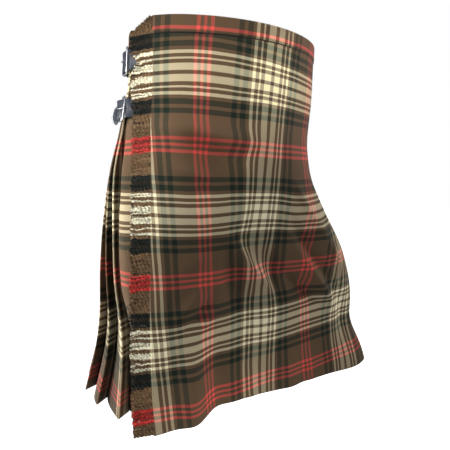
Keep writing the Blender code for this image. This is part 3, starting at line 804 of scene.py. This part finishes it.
def guideObject(points, lines=(), attributes=None):
    mesh = bpy.data.meshes.new("guide")
    mesh.from_pydata(np.asarray(points).tolist(), list(lines), [])
    for name, values in (attributes or {}).items():
        kind = ("FLOAT", "value") if values.ndim == 1 else ("FLOAT_VECTOR", "vector")
        addAttribute(mesh, name, *kind, values)
    return addObject("guide", mesh)


def grow(name, guide, tree, values):
    work = guide.modifiers.new("grow", "NODES")
    work.node_group = tree
    for item in tree.interface.items_tree:
        if item.in_out == "INPUT" and item.name in values:
            work[item.identifier] = values[item.name]
    graph = bpy.context.evaluated_depsgraph_get()
    mesh = bpy.data.meshes.new_from_object(guide.evaluated_get(graph))
    mesh.name = name
    bpy.data.objects.remove(guide, do_unlink=True)
    piece = addObject(name, mesh)
    rideRoot(piece)
    return piece


# Fringe.
fringe = {
    "pitch": 0.7,           # mm from yarn to yarn
    "yarnRadius": 0.45,
    "joints": 18,
    "backJoints": 7,        # of the straight yarns behind
    "looseness": (0.8, 1.0),      # of each layer, outward: 0 lies straight and 1 is free
    "layerStep": 0.7,
    "lock": 4.4,            # the yarns cling together in locks, mm down the edge
    "gather": 0.62,         # how much closer their tips lie
    "droop": 3.0,           # of the tips, mm
    "wave": 5.5,            # mm, the crimp left by the weave, drawn coarser than it is
    "crimp": 0.75,          # mm, the height of that wave
    "clump": 14.0,          # mm, how far the locks stray towards their tips
    "tangle": 2.2,          # mm, how far single yarns stray
    "hemStraight": (580.0, 604.0, 0.9),      # drops, and how far the locks lie straight there
    "topStraight": (34.0, 22.0, 0.8),
    "yarnUneven": {"root": 0.2, "length": 0.012, "lift": 0.3, "sag": 0.5, "phase": 0.7},
    "lockUneven": {"length": 0.015, "lift": 0.45, "sag": 1.1, "shade": 0.14},
    "seed": 7,
}
fringeYarns = {
    "brown": "#7A6044",
    "dark": "#141C18",
    "cream": "#FFFAE0",
    "red": "#DA403C",
    0.465: "#9A4034",       # brown lines of the sett that the red and the dark yarns' fluff hides
    0.215: "#2E271C",
}
# The yarns are short at the trimmed top corner and where the waist strap parts them: the drop,
# their length and how far their tips stand off the cloth.
fringePlaces = (
    (0, 3, 0.6), (6, 13, 1.5), (14, 27, 3.0), (21, 36, 3.8), (30, 40, 4.0), (46, 39, 3.6),
    (51, 25, 2.2), (69, 25, 2.0), (75, 37, 2.6), (105, 34, 1.8), (135, 29.5, 1.2), (617, 29, 1.0),
)


def fringeTree():
    tree, given = newTree("frayed yarns", ["Yarn Radius", "Clump", "Tangle", "Crimp", "Wave"],
                          ["Joints"])

    def named(name, kind):
        return addNode(tree, "GeometryNodeInputNamedAttribute", {"data_type": kind},
                       {"Name": name}).outputs[0]

    def vector(operation, inputs):
        return addNode(tree, "ShaderNodeVectorMath", {"operation": operation}, inputs)

    line = addNode(tree, "GeometryNodeCurvePrimitiveLine", inputs={"End": (1, 0, 0)})
    bent = addNode(tree, "GeometryNodeResampleCurve", inputs={"Curve": line.outputs[0],
                                                              "Count": given["Joints"]})
    ring = addNode(tree, "GeometryNodeCurvePrimitiveCircle",
                   inputs={"Resolution": 3, "Radius": given["Yarn Radius"]})
    yarn = addNode(tree, "GeometryNodeCurveToMesh",
                   inputs={"Curve": bent.outputs[0], "Profile Curve": ring.outputs[0],
                           "Fill Caps": True})
    place = addNode(tree, "GeometryNodeInputPosition").outputs[0]
    along = addNode(tree, "ShaderNodeSeparateXYZ", inputs={"Vector": place}).outputs["X"]
    marked = addNode(tree, "GeometryNodeStoreNamedAttribute",
                     {"data_type": "FLOAT", "domain": "POINT"},
                     {"Geometry": yarn.outputs[0], "Name": "along", "Value": along})
    reach = named("reach", "FLOAT_VECTOR")
    turn = addNode(tree, "FunctionNodeAlignRotationToVector", {"axis": "X"}, {"Vector": reach})
    length = vector("LENGTH", {0: reach}).outputs["Value"]
    size = addNode(tree, "ShaderNodeCombineXYZ", inputs={"X": length, "Y": 1.0, "Z": 1.0})
    yarns = addNode(tree, "GeometryNodeInstanceOnPoints",
                    inputs={"Points": given["Geometry"], "Instance": marked.outputs[0],
                            "Rotation": turn.outputs[0], "Scale": size.outputs[0]})
    # each yarn waves up and down and off the cloth, in step with its neighbours in the lock
    far = named("along", "FLOAT")
    waves = mathOf(tree, "DIVIDE", mathOf(tree, "MULTIPLY", far, length), given["Wave"])
    angle = mathOf(tree, "ADD", mathOf(tree, "MULTIPLY", waves, math.tau),
                   named("phase", "FLOAT"))
    held = mathOf(tree, "MINIMUM", mathOf(tree, "MULTIPLY", far, 8.0), 1.0)
    swing = mathOf(tree, "MULTIPLY", given["Crimp"], held)
    facing = named("face", "FLOAT_VECTOR")
    off = vector("SCALE", {0: facing, "Scale": mathOf(
        tree, "MULTIPLY", swing, mathOf(tree, "COSINE", angle))}).outputs[0]
    up = addNode(tree, "ShaderNodeCombineXYZ", inputs={
        "Z": mathOf(tree, "MULTIPLY", swing, mathOf(tree, "SINE", angle))}).outputs[0]
    push = vector("ADD", {0: off, 1: up}).outputs[0]
    for scale, label in ((75.0, "Clump"), (330.0, "Tangle")):
        cloud = noiseOf(tree, place, scale, 1.0)["Color"]
        stray = vector("SUBTRACT", {0: cloud, 1: (0.5, 0.5, 0.5)})
        freely = mathOf(tree, "MULTIPLY", far, named("free", "FLOAT"))
        drift = vector("SCALE", {0: stray.outputs[0],
                                 "Scale": mathOf(tree, "MULTIPLY", given[label], freely)})
        lengthwise = vector("PROJECT", {0: drift.outputs[0], 1: reach})
        drift = vector("SUBTRACT", {0: drift.outputs[0], 1: lengthwise.outputs[0]})
        inward = vector("DOT_PRODUCT", {0: drift.outputs[0], 1: facing}).outputs["Value"]
        back = mathOf(tree, "SUBTRACT", mathOf(tree, "ABSOLUTE", inward), inward)
        outward = vector("SCALE", {0: facing, "Scale": back})      # never into the cloth
        drift = vector("ADD", {0: drift.outputs[0], 1: outward.outputs[0]})
        push = vector("ADD", {0: push, 1: drift.outputs[0]}).outputs[0]
    endTree(tree, yarns.outputs[0], given, push)
    return tree


# Weft yarns of the same worsted, pulled free: crimped, matt and hairy, each in its own colour,
# with painted highlights and painted shade, darkest on the back layers.
def frayedYarn():
    material, tree, shader = newMaterial("frayed worsted yarn")
    stripes = stripesOf(tree, attributeOf(tree, "weft"), weave["weftRepeat"], fringeYarns)
    cloud = noiseOf(tree, placeOf(tree), 430.0, 3.0, 0.7)["Fac"]
    shade = rangeOf(tree, cloud, 0.4, 1.6, 0.32, 0.68)      # painted highlights on tips and painted shade between the hairs, laid as a random cloud
    # painted shade: deep darkens the straight back layers, with a random tone for each lock
    shade = mathOf(tree, "MULTIPLY", shade, attributeOf(tree, "deep"))
    setInputs(tree, shader, {
        "Base Color": mixOf(tree, stripes, shade, blend="MULTIPLY"), "Roughness": 0.92,
        "Sheen Weight": 0.1, "Specular IOR Level": 0.2})
    return material


def fringeLayer(rng, index, loose):      # roots, reaches and looks of one layer's yarns
    drop = np.arange(1.2, kilt["drop"] - 1.5, fringe["pitch"])
    count = len(drop)
    each, every = fringe["yarnUneven"], fringe["lockUneven"]
    drop = drop + rng.uniform(-each["root"], each["root"], count) * loose
    # laid straight at the hem's corner and at the trimmed top
    straight = [share * smoothStep(start, end, drop)
                for start, end, share in (fringe["hemStraight"], fringe["topStraight"])]
    free = loose * (1 - straight[0] - straight[1])
    lock = np.floor(drop / fringe["lock"] + 0.4 * np.sin(drop / 5.3)).astype(int)
    lock += 3 - lock.min()
    locks = lock.max() + 1
    middle = np.bincount(lock, drop, locks) / np.maximum(np.bincount(lock, minlength=locks), 1)
    mood = rng.normal(0, 1, (3, locks))      # of each lock: longer, lower, further off
    drops, lengths, lifts = np.array(fringePlaces, float).T
    length = np.interp(drop, drops, lengths)
    length = length * (1 + every["length"] * mood[0, lock]
                       + rng.normal(0, each["length"], count))
    lift = np.interp(drop, drops, lifts) + every["lift"] * mood[2, lock]
    lift = np.maximum(lift, 0.3) * loose + fringe["layerStep"] * index
    lift = lift + rng.uniform(-each["lift"], each["lift"], count)
    sag = fringe["droop"] + every["sag"] * mood[1, lock] + rng.normal(0, each["sag"], count)
    tipDrop = drop + (sag + fringe["gather"] * (middle[lock] - drop)) * free
    tipDrop = np.clip(tipDrop, 0.8, kilt["drop"] - 0.8)
    side = -edge("apronRight", drop)
    root = formAt(side + 1.0, drop, apronRise(side, drop) - 0.7 + 0.5 * index)
    tip = formAt(side - length, tipDrop, apronRise(side - length, drop) + lift
                 + (1.2 if loose else -0.2))
    face = formAt(side - length / 2, drop, 1.0) - formAt(side - length / 2, drop, 0.0)
    # deep is painted shade, darker for the straighter back layers, plus a random tone for each
    # lock
    return {"root": root * mm, "reach": (tip - root) * mm, "face": face,
            "weft": apronFlat(side, drop)[:, 1] * mm,
            "phase": 2.1 * lock + rng.normal(0, each["phase"], count),
            "deep": 0.3 + 0.7 * loose + every["shade"] * loose * mood[0, lock], "free": free}


def makeFringe(name, looseness, joints, tree, finish):
    rng = np.random.default_rng(fringe["seed"])
    layers = [fringeLayer(rng, index, loose) for index, loose in enumerate(looseness)]
    found = {label: np.concatenate([one[label] for one in layers]) for label in layers[0]}
    return grow(name, guideObject(found.pop("root"), attributes=found), tree, {
        "Yarn Radius": fringe["yarnRadius"] * mm, "Clump": fringe["clump"] * mm,
        "Tangle": fringe["tangle"] * mm, "Crimp": fringe["crimp"] * mm,
        "Wave": fringe["wave"] * mm, "Joints": joints, "Finish": finish})


def makeFringes():
    tree, finish = fringeTree(), frayedYarn()
    under = makeFringe("apronFringeUnder", (0.0, 0.0), fringe["backJoints"], tree, finish)
    top = makeFringe("apronFringe", fringe["looseness"], fringe["joints"], tree, finish)
    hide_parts("apron_fringe")
    return [top, under]


fringes = makeFringes()
print("fringe made:", sum(len(piece.data.polygons) for piece in fringes), "faces")


# Straps and buckles.
straps = {
    "leather": 1.5,
    "edge": 0.45,           # mm, the rounded edge of the leather
    "tabLength": 34.0,
    "tabNarrower": 6.0,     # than the strap
    "tabOut": 1.6,          # middle of the tab, off the cloth
    "frameLength": 20.0,
    "frameWider": 9.0,      # than the strap
    "frameCorner": 4.0,
    "frameWire": 1.3,       # half its thickness
    "prongWire": 0.9,
    "keeperAt": 13.0,       # mm from the buckle's bar
    "keeperWide": 7.0,
    "keeperThick": 1.1,
    "air": 0.3,             # between parts that lie on each other
    "holePitch": 12.0,
    "holeRadius": 1.9,
    "lastHole": 38.0,       # mm from the buckle's bar
    "clear": 0.5,           # of the strap over the tab, and of the keeper over the strap
    "turnClear": 0.6,       # of the tab round the pivot bar
    "tailAt": 18.0,         # mm past the bar, where the end starts to lift
    "tailLow": 0.8,         # it lies this much lower there than over the bar
    "keeperSquare": 8,      # 2 is round, more is squarer
    "wireSides": 12,
    "plain": 60.0,          # mm, moves a piece without holes off the row of holes
}


# Vegetable tanned cowhide, dyed black and waxed, its blue-grey tint a painted reflection of cool
# light: a fine pebbled grain, a soft coat, and the round holes for the prong, painted near-black.
def blackLeather():
    material, tree, shader = newMaterial("black bridle leather")
    along, across = addNode(tree, "ShaderNodeSeparateXYZ",
                            inputs={"Vector": placeOf(tree, "leather")}).outputs[:2]
    nearest = mathOf(tree, "PINGPONG", along, 0.5 * straps["holePitch"] * mm)
    away = mathOf(tree, "SQRT", mathOf(tree, "ADD", mathOf(tree, "POWER", nearest, 2.0),
                                       mathOf(tree, "POWER", across, 2.0)))
    hole = mathOf(tree, "MULTIPLY", mathOf(tree, "LESS_THAN", away, straps["holeRadius"] * mm),
                  mathOf(tree, "LESS_THAN", along, straps["lastHole"] * mm))
    place = placeOf(tree)
    grain = addNode(tree, "ShaderNodeTexVoronoi", {"feature": "SMOOTH_F1"},
                    {"Vector": place, "Scale": 900.0, "Smoothness": 0.6})     # 1.1 mm pebbles
    cloud = noiseOf(tree, place, 130.0, 4.0)["Fac"]
    # the leather's own uneven black, lifted to blue-grey as a painted reflection of cool light
    tone = mixOf(tree, linear("#1F2530"), linear("#39414F"), cloud)
    height = mathOf(tree, "ADD", grain.outputs["Distance"], mathOf(tree, "MULTIPLY", cloud, 0.6))
    height = mathOf(tree, "SUBTRACT", height, mathOf(tree, "MULTIPLY", hole, 3.0))
    # the holes are painted near-black as painted shade; the leather is not cut through
    setInputs(tree, shader, {
        "Base Color": mixOf(tree, tone, linear("#07080A"), hole),
        "Roughness": rangeOf(tree, cloud, 0.45, 0.6),
        "Normal": bumpOf(tree, height, 0.3, 0.0003), "Specular IOR Level": 0.35,
        "Coat Weight": 0.12, "Coat Roughness": 0.25})
    return material


# Steel with a bright nickel-chrome plate, fine polishing scratches.
def chromePlate():
    material, tree, shader = newMaterial("chrome plated steel")
    cloud = noiseOf(tree, placeOf(tree), 400.0, 3.0)["Fac"]
    setInputs(tree, shader, {"Base Color": linear("#D5D7DC"), "Metallic": 1.0,
                             "Roughness": rangeOf(tree, cloud, 0.08, 0.22)})
    return material


# Twisted cotton or linen thread with a little wax on it.
def waxedThread(name, hexCode):
    material, tree, shader = newMaterial(name)
    tone = rangeOf(tree, noiseOf(tree, placeOf(tree), 2500.0)["Fac"], 0.7, 1.2)
    setInputs(tree, shader, {"Base Color": mixOf(tree, linear(hexCode), tone, blend="MULTIPLY"),
                             "Roughness": 0.6})
    return material


leather = blackLeather()
chrome = chromePlate()

tabTurn = straps["frameWire"] + straps["leather"] / 2 + straps["turnClear"]
frameOut = straps["tabOut"] + tabTurn
strapOut = frameOut + tabTurn + straps["leather"] + straps["clear"]
# Drop of the strap's middle, side of the buckle's pivot bar, which way the strap's end points,
# how long, high and low that end lies, and where the strap starts and comes out behind the bar.
strapColumns = ("drop", "pivot", "way", "width", "tail", "lift", "sag", "start", "turnOut")
strapPlaces = {
    "Waist": (53.0, -264.0, -1, 30.0, 44.0, 3.0, 0.0, 84.0, 34.0),
    "Hip": (126.0, -260.0, -1, 28.0, 48.0, 16.0, 6.0, 80.0, 34.0),
    "Left": (53.0, float(edge("apronLeft", 50)) + 74, 1, 30.0, 40.0, 0.0, 0.0, 112.0, 73.0),
}
# Corners of a strip's section: half widths, whether in by its rounded edge, and which face.
stripRim = ((1, 0, 0.5), (1, 1, 1), (-1, 1, 1), (-1, 0, 0.5),
            (-1, 0, -0.5), (-1, 1, -1), (1, 1, -1), (1, 0, -0.5))
# Corners of the keeper's section, in half widths and thicknesses.
keeperRim = ((-1, -0.3), (-1, 0.3), (-0.75, 0.5), (0.75, 0.5), (1, 0.3), (1, -0.3),
             (0.75, -0.5), (-0.75, -0.5))
allStraps = {label: dict(zip(strapColumns, row)) for label, row in strapPlaces.items()}


def strapPoint(strap, ahead, out, down=0.0):
    return formAt(strap["pivot"] + strap["way"] * ahead, strap["drop"] + down, out) * mm


def ringFaces(rings, sides, closed):      # the skin of a row of rings
    faces = []
    for i in range(rings if closed else rings - 1):
        j = (i + 1) % rings
        for k in range(sides):
            m = (k + 1) % sides
            faces.append((i * sides + k, i * sides + m, j * sides + m, j * sides + k))
    if not closed:
        faces += [tuple(start + k for k in range(sides)) for start in (0, (rings - 1) * sides)]
    return faces


def solidPiece(name, node, points, faces, material, places=None):
    mesh = bpy.data.meshes.new(name)
    mesh.from_pydata(points, [], faces)
    work = bmesh.new()
    work.from_mesh(mesh)
    bmesh.ops.recalc_face_normals(work, faces=work.faces)
    work.to_mesh(mesh)
    work.free()
    mesh.materials.append(material)
    if places is not None:
        placeOnFlat(mesh, "leather", places)
    mesh.shade_smooth()
    mesh.set_sharp_from_angle(angle=math.radians(50))
    piece = addObject(name, mesh)
    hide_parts(node)
    rideRoot(piece)


def softLine(stops):      # corners cut twice, so that the leather bends softly
    line = np.array(stops, float)
    for turn in range(2):
        near, past = 0.75 * line[:-1] + 0.25 * line[1:], 0.25 * line[:-1] + 0.75 * line[1:]
        middle = np.stack([near, past], axis=1).reshape(-1, line.shape[1])
        line = np.vstack([line[:1], middle, line[-1:]])
    return line


def leatherStrip(name, node, strap, stops, pierced):
    # stops holds ahead, out, width and sag, from one end to the other
    line = softLine(stops)[::int(strap["way"])]
    height = strap["drop"] + line[:, 3]
    flat = formAt(strap["pivot"] + strap["way"] * line[:, 0], height, line[:, 1])[:, :2]
    step = np.gradient(flat, axis=0)
    step /= np.linalg.norm(step, axis=1, keepdims=True)
    square = np.stack([step[:, 1], -step[:, 0]], axis=-1)
    half = straps["leather"] / 2
    points, places = [], []
    for i in range(len(line)):
        for way, inset, face in stripRim:
            across = way * (line[i, 2] / 2 - inset * straps["edge"])
            off = face * half if inset else 2 * face * (half - straps["edge"])
            x, y = flat[i] + square[i] * off
            points.append((x * mm, y * mm, -(height[i] + across) * mm))
            places.append((line[i, 0] * mm, (across + (0 if pierced else straps["plain"])) * mm))
    solidPiece(name, node, points, ringFaces(len(line), len(stripRim), False), leather,
               places)


def strapStops(strap):
    half = straps["leather"] / 2
    startOut = -kilt["apronWall"] - straps["air"] - half - 1.55
    low = frameOut - straps["frameWire"] - straps["air"] - half - 0.1
    bar = 3 - straps["frameLength"]
    # under the apron, out through the frame, over its bar and past the keeper
    stops = [(ahead, startOut) for ahead in np.linspace(-strap["start"], -strap["turnOut"], 6)]
    stops += [(ahead, low) for ahead in np.linspace(8 - strap["turnOut"], bar, 4)]
    start, rest = straps["tailAt"], strapOut - straps["tailLow"]
    stops += [(-7, strapOut - 1.9), (0, strapOut), (8, strapOut - 0.2), (start, rest)]
    tail = strap["tail"] - start
    for ahead, share in ((0.3, 0.1), (0.6, 0.3), (0.8, 0.6), (0.88, 0.74), (0.95, 0.9), (1, 1)):
        stops.append((start + ahead * tail, rest + share * strap["lift"]))
    shares = [1] * (len(stops) - 3) + [0.84, 0.5, 0.14]      # pointed at its end
    return [(ahead, out, strap["width"] * share,
             strap["sag"] * float(smoothStep(16, strap["tail"], ahead)))
            for (ahead, out), share in zip(stops, shares)]


def tabStops(strap):
    stops = [(ahead, straps["tabOut"]) for ahead in (straps["tabLength"], 22.0, 11.0, 4.0)]
    for degrees in (-110, -140, -170, -200, -230, -260, -285):      # round the pivot bar
        stops.append((tabTurn * math.cos(math.radians(degrees)),
                      frameOut + tabTurn * math.sin(math.radians(degrees))))
    return [(ahead, out, strap["width"] - straps["tabNarrower"], 0.0) for ahead, out in stops]


def wirePiece(name, node, path, radius, closed):
    path = np.asarray(path)
    count, sides = len(path), straps["wireSides"]
    points = []
    up = None
    for i in range(count):
        ahead = path[(i + 1) % count] if closed or i < count - 1 else path[i]
        behind = path[i - 1] if closed or i > 0 else path[i]
        along = (ahead - behind) / np.linalg.norm(ahead - behind)
        up = np.cross(along, (0.3, 0.2, 0.93)) if up is None else up
        up = up - along * np.dot(up, along)
        up /= np.linalg.norm(up)
        across = np.cross(along, up)
        blunt = 1.0 if closed else min(1.0, 0.45 + 0.35 * min(i, count - 1 - i))      # at its ends
        for k in range(sides):
            angle = 2 * math.pi * k / sides
            turn = math.cos(angle) * up + math.sin(angle) * across
            points.append(tuple(path[i] + radius * mm * blunt * turn))
    solidPiece(name, node, points, ringFaces(count, sides, closed), chrome)


def framePath(strap):
    corner, halfLong = straps["frameCorner"], straps["frameLength"] / 2
    halfTall = (strap["width"] + straps["frameWider"]) / 2
    path = []
    for longWay, tallWay, start in ((1, 1, 0), (-1, 1, 90), (-1, -1, 180), (1, -1, 270)):
        for step in range(0, 91, 15):
            angle = math.radians(start + step)
            ahead = longWay * (halfLong - corner) + corner * math.cos(angle) - halfLong
            down = tallWay * (halfTall - corner) + corner * math.sin(angle)
            path.append(strapPoint(strap, ahead, frameOut, down))
    return path


def prongPath(strap):      # over the strap, down through its hole and onto the frame
    wire = straps["prongWire"] + straps["air"]
    over, rest = strapOut + straps["leather"] / 2 + wire, frameOut + straps["frameWire"] + wire
    stops = ((-1.0, over), (-2.5, over + 0.1), (-4.0, over + 0.1), (-9.0, over - 0.5),
             (-14.0, rest + 0.9), (-18.0, rest + 0.3), (-20.5, rest + 0.15), (-22.5, rest + 0.1))
    return [strapPoint(strap, ahead, out) for ahead, out in stops]


def keeperPiece(name, node, strap):      # a loop of leather with soft corners
    thick, rings = straps["keeperThick"], 20
    low = straps["tabOut"] + (straps["leather"] + thick) / 2 + straps["air"]
    high = strapOut + (straps["leather"] + thick) / 2 + straps["clear"]
    tall, deep = strap["width"] / 2 + straps["turnClear"] + thick / 2, (high - low) / 2
    power = straps["keeperSquare"]
    points = []
    for i in range(rings):
        angle = 2 * math.pi * (i + 0.5) / rings
        turn = np.array([math.cos(angle), math.sin(angle)])
        turn = turn / np.sum(np.abs(turn) ** power) ** (1 / power)
        for wide, grown in keeperRim:
            ahead = straps["keeperAt"] + wide * straps["keeperWide"] / 2
            down = turn[0] * (tall + grown * thick)
            out = (low + high) / 2 + turn[1] * (deep + grown * thick)
            points.append(tuple(strapPoint(strap, ahead, out, down)))
    solidPiece(name, node, points, ringFaces(rings, len(keeperRim), True), leather,
               [(0.0, straps["plain"] * mm)] * len(points))


def makeFastenings():
    for label, strap in allStraps.items():
        low = label.lower()
        leatherStrip("strap" + label, "strap_" + low, strap, strapStops(strap), True)
        leatherStrip("buckleTab" + label, "buckle_tab_" + low, strap, tabStops(strap), False)
        wirePiece("buckleFrame" + label, "buckle_frame_" + low, framePath(strap),
                  straps["frameWire"], True)
        wirePiece("bucklePin" + label, "buckle_prong_" + low, prongPath(strap),
                  straps["prongWire"], False)
        keeperPiece("strapKeeper" + label, "strap_keeper_" + low, strap)


makeFastenings()
print("straps and buckles made")


# Stitching.
stitching = {
    "thread": 0.3,          # mm, half its thickness
    "from": 26.0,           # the rows start below the band
    "seamLine": 1.8,        # mm from a pleat's edge to its row of stitches
    "leatherIn": 3.0,       # mm in from the leather's edge
    "edgeIn": 2.4,          # mm in from the apron's frayed edge
    "lift": 0.05,           # mm, the thread's middle above the cloth
}
# mm from stitch to stitch, a stitch's length and how many threads thick it looks
stitchKinds = {
    "band": (3.0, 2.3, 1.0),
    # the ditch stitches overlap and are thick, so that they paint the shade line under the band as
    # well as the seam
    "ditchShade": (1.9, 2.8, 3.2),
    "pleat": (5.0, 1.5, 0.7),
    "leather": (3.4, 2.6, 1.0),
}


def stitchTree():      # thread laid along each line of the guide, one bead for a stitch
    tree, given = newTree("stitches", ["Pitch", "Long", "Thread"])
    path = addNode(tree, "GeometryNodeMeshToCurve", inputs={0: given["Geometry"]})
    spots = addNode(tree, "GeometryNodeCurveToPoints", {"mode": "LENGTH"},
                    {"Curve": path.outputs[0], "Length": given["Pitch"]})
    turn = addNode(tree, "FunctionNodeAlignRotationToVector", {"axis": "X"},
                   {"Vector": spots.outputs["Tangent"]})
    bead = addNode(tree, "GeometryNodeMeshIcoSphere", inputs={"Radius": 1.0, "Subdivisions": 1})
    size = addNode(tree, "ShaderNodeCombineXYZ", inputs={
        "X": mathOf(tree, "MULTIPLY", given["Long"], 0.5), "Y": given["Thread"],
        "Z": given["Thread"]})
    stitches = addNode(tree, "GeometryNodeInstanceOnPoints",
                       inputs={"Points": spots.outputs["Points"], "Instance": bead.outputs[0],
                               "Rotation": turn.outputs[0], "Scale": size.outputs[0]})
    endTree(tree, stitches.outputs[0], given)
    return tree


def pleatRows():
    rows = []
    for k in range(pleats["count"]):
        points = []
        for drop in np.linspace(stitching["from"], pleats["fell"], 24):
            row = pleatRow(drop)
            along = pleatEdge(row, k) + stitching["seamLine"]
            sunk = (pleats["wall"] - kilt["innerWall"]) / 2
            out = pleatLift(row, k) + stitching["lift"] - sunk
            side = -row["start"] - along
            points.append(formAt(side, drop + hipDip(side, drop),
                                 out - pleatTuck(row, along)) * mm)
        rows.append(points)
    return rows


def leatherRows():      # round each strap's free end and each tab
    rows = []
    face, inset = straps["leather"] / 2 + 0.1, stitching["leatherIn"]
    for strap in allStraps.values():
        line = softLine(strapStops(strap))
        shown = line[(line[:, 0] > 1) & (line[:, 2] > strap["width"] * 0.55)]
        sides = [[(ahead, out + face, sag + way * (width / 2 - inset))
                  for ahead, out, width, sag in shown] for way in (-1, 1)]
        tip = (strap["tail"] - inset * 1.6, line[-1, 1] + face, line[-1, 3])
        tall = (strap["width"] - straps["tabNarrower"]) / 2 - inset
        box = [(ahead, straps["tabOut"] + face, down) for ahead, down in (
            (7, -tall), (straps["tabLength"] - inset, -tall), (straps["tabLength"] - inset, tall),
            (7, tall), (7, -tall))]
        for row in (sides[0] + [tip] + sides[1][::-1], box):
            rows.append([strapPoint(strap, *place) for place in row])
    return rows


def apronEdgeRow():
    drop = np.linspace(stitching["from"], kilt["drop"] - 1, 150)
    side = -edge("apronRight", drop) + stitching["edgeIn"]
    return formAt(side, drop, apronRise(side, drop) + stitching["lift"]) * mm


def sewRows(name, rows, kind, finish, tree):
    points, lines = [], []
    for row in rows:
        lines += [(len(points) + i, len(points) + i + 1) for i in range(len(row) - 1)]
        points += [tuple(point) for point in row]
    pitch, long, thick = stitchKinds[kind]
    grow(name, guideObject(points, lines), tree, {
        "Pitch": pitch * mm, "Long": long * mm, "Thread": stitching["thread"] * thick * mm,
        "Finish": finish})


def makeStitches():
    tree = stitchTree()
    brown = waxedThread("brown cotton thread", "#2B231B")
    # near-black thread for the ditch row: seam and painted shade together
    dark = waxedThread("near-black thread for painted seam shade", "#0B0908")
    grey = waxedThread("waxed linen thread", "#2A2E37")
    edgeRows, ditchShadeRows = (rows for drop, rows in seams.values())
    for name, rows, kind, finish, slot in (
            ("bandStitches", edgeRows + [apronEdgeRow()], "band", brown, "worsted_check"),
            ("bandDitchShade", ditchShadeRows, "ditchShade", dark, "worsted_check"),
            ("pleatStitches", pleatRows(), "pleat", brown, "pleat_check"),
            ("leatherStitches", leatherRows(), "leather", grey, "black_leather")):
        sewRows(name, rows, kind, finish, tree)


makeStitches()
print("stitched")


# Camera and lights.
view = {
    "place": (-0.3566, -0.610, -0.217),
    "azimuth": -30.0,
    "down": 8.594,          # degrees below level
    "lens": 30.4,           # mm, on a 36 mm sensor
}


def makeCamera():
    data = bpy.data.cameras.new("camera")
    data.lens = view["lens"]
    data.sensor_width = 36.0
    data.sensor_fit = "HORIZONTAL"
    data.clip_start = 0.02
    camera = addObject("camera", data)
    camera.location = view["place"]
    camera.rotation_euler = (math.radians(90 - view["down"]), 0, math.radians(view["azimuth"]))
    bpy.context.scene.camera = camera


lightColumns = ("place", "target", "size", "power", "colour", "spread")      # m, W, degrees
lights = {
    "left": ((-1.7, 0.1, 0.1), (-0.2, 0, -0.3), 0.8, 3.3, "#FFFBF4", 60),
    "back left": ((-1.3, 0.9, -0.7), (-0.2, 0.1, -0.5), 0.6, 2.0, "#FFFBF4", 40),
    "right": ((1.5, -0.6, 0.5), (0.1, 0, -0.3), 0.6, 2.7, "#FFF6EC", 90),
    "far right": ((1.8, 0, 0.1), (0.1, 0, -0.3), 1.0, 6.3, "#FFF6EC", 180),
    "brow": ((-0.6, -1.6, 1.1), (-0.16, -0.17, 0.02), 0.15, 0.105, "#FFF8EE", 10),
    "hip": ((-1.6, -0.9, -0.1), (-0.26, 0, -0.2), 0.2, 0.14, "#FFFBF4", 16),
    "hem": ((-0.4, -1.6, -0.5), (-0.08, -0.1, -0.68), 0.3, 0.125, "#FFF8EE", 14),
    "front": ((0.8, -1.6, 0.4), (0.06, -0.14, -0.03), 0.15, 0.065, "#FFF8E6", 9),
}
room = {
    "floorAt": -1.1,
    "floorHalf": 8.0,
    "floor": "#F4F3F1",
    "fill": "#E8ECF2",      # soft light from all sides
    "fillStrength": 0.36,
}


def areaLight(name, row):
    given = dict(zip(lightColumns, row))
    data = bpy.data.lights.new(name, "AREA")
    data.spread = math.radians(given["spread"])
    data.shape = "SQUARE"
    data.size = given["size"]
    data.energy = given["power"]
    data.color = linear(given["colour"])[:3]
    light = addObject(name, data)
    light.location = given["place"]
    way = Vector(given["target"]) - Vector(given["place"])
    light.rotation_euler = way.to_track_quat("-Z", "Y").to_euler()


def makeFloor():
    mesh = bpy.data.meshes.new("floor")
    corners = ((-1, -1), (1, -1), (1, 1), (-1, 1))
    mesh.from_pydata([(x * room["floorHalf"], y * room["floorHalf"], room["floorAt"])
                      for x, y in corners], [], [(0, 1, 2, 3)])
    material, tree, shader = newMaterial("matt white floor")
    # lifted for the eye only, so that the floor runs into the white backdrop
    seen = addNode(tree, "ShaderNodeLightPath").outputs["Is Camera Ray"]
    setInputs(tree, shader, {"Base Color": linear(room["floor"]), "Roughness": 0.9,
                             "Emission Color": linear("#FFFFFF"), "Emission Strength": seen})
    mesh.materials.append(material)
    addObject("floor", mesh)


def makeWorld():
    world = bpy.data.worlds.new("studio")
    world.use_nodes = True
    bpy.context.scene.world = world
    tree = world.node_tree
    lit = tree.nodes["Background"]
    setInputs(tree, lit, {"Color": linear(room["fill"]), "Strength": room["fillStrength"]})
    white = addNode(tree, "ShaderNodeBackground", inputs={"Color": (1, 1, 1, 1)})
    seen = addNode(tree, "ShaderNodeLightPath").outputs["Is Camera Ray"]
    both = addNode(tree, "ShaderNodeMixShader", inputs={0: seen, 1: lit.outputs[0],
                                                        2: white.outputs[0]})
    tree.links.new(both.outputs[0], tree.nodes["World Output"].inputs["Surface"])
    bpy.context.scene.view_settings.view_transform = "Standard"
    bpy.context.scene.view_settings.look = "None"


makeCamera()
makeFloor()
for name, row in lights.items():
    areaLight(name, row)
makeWorld()
print("studio made")
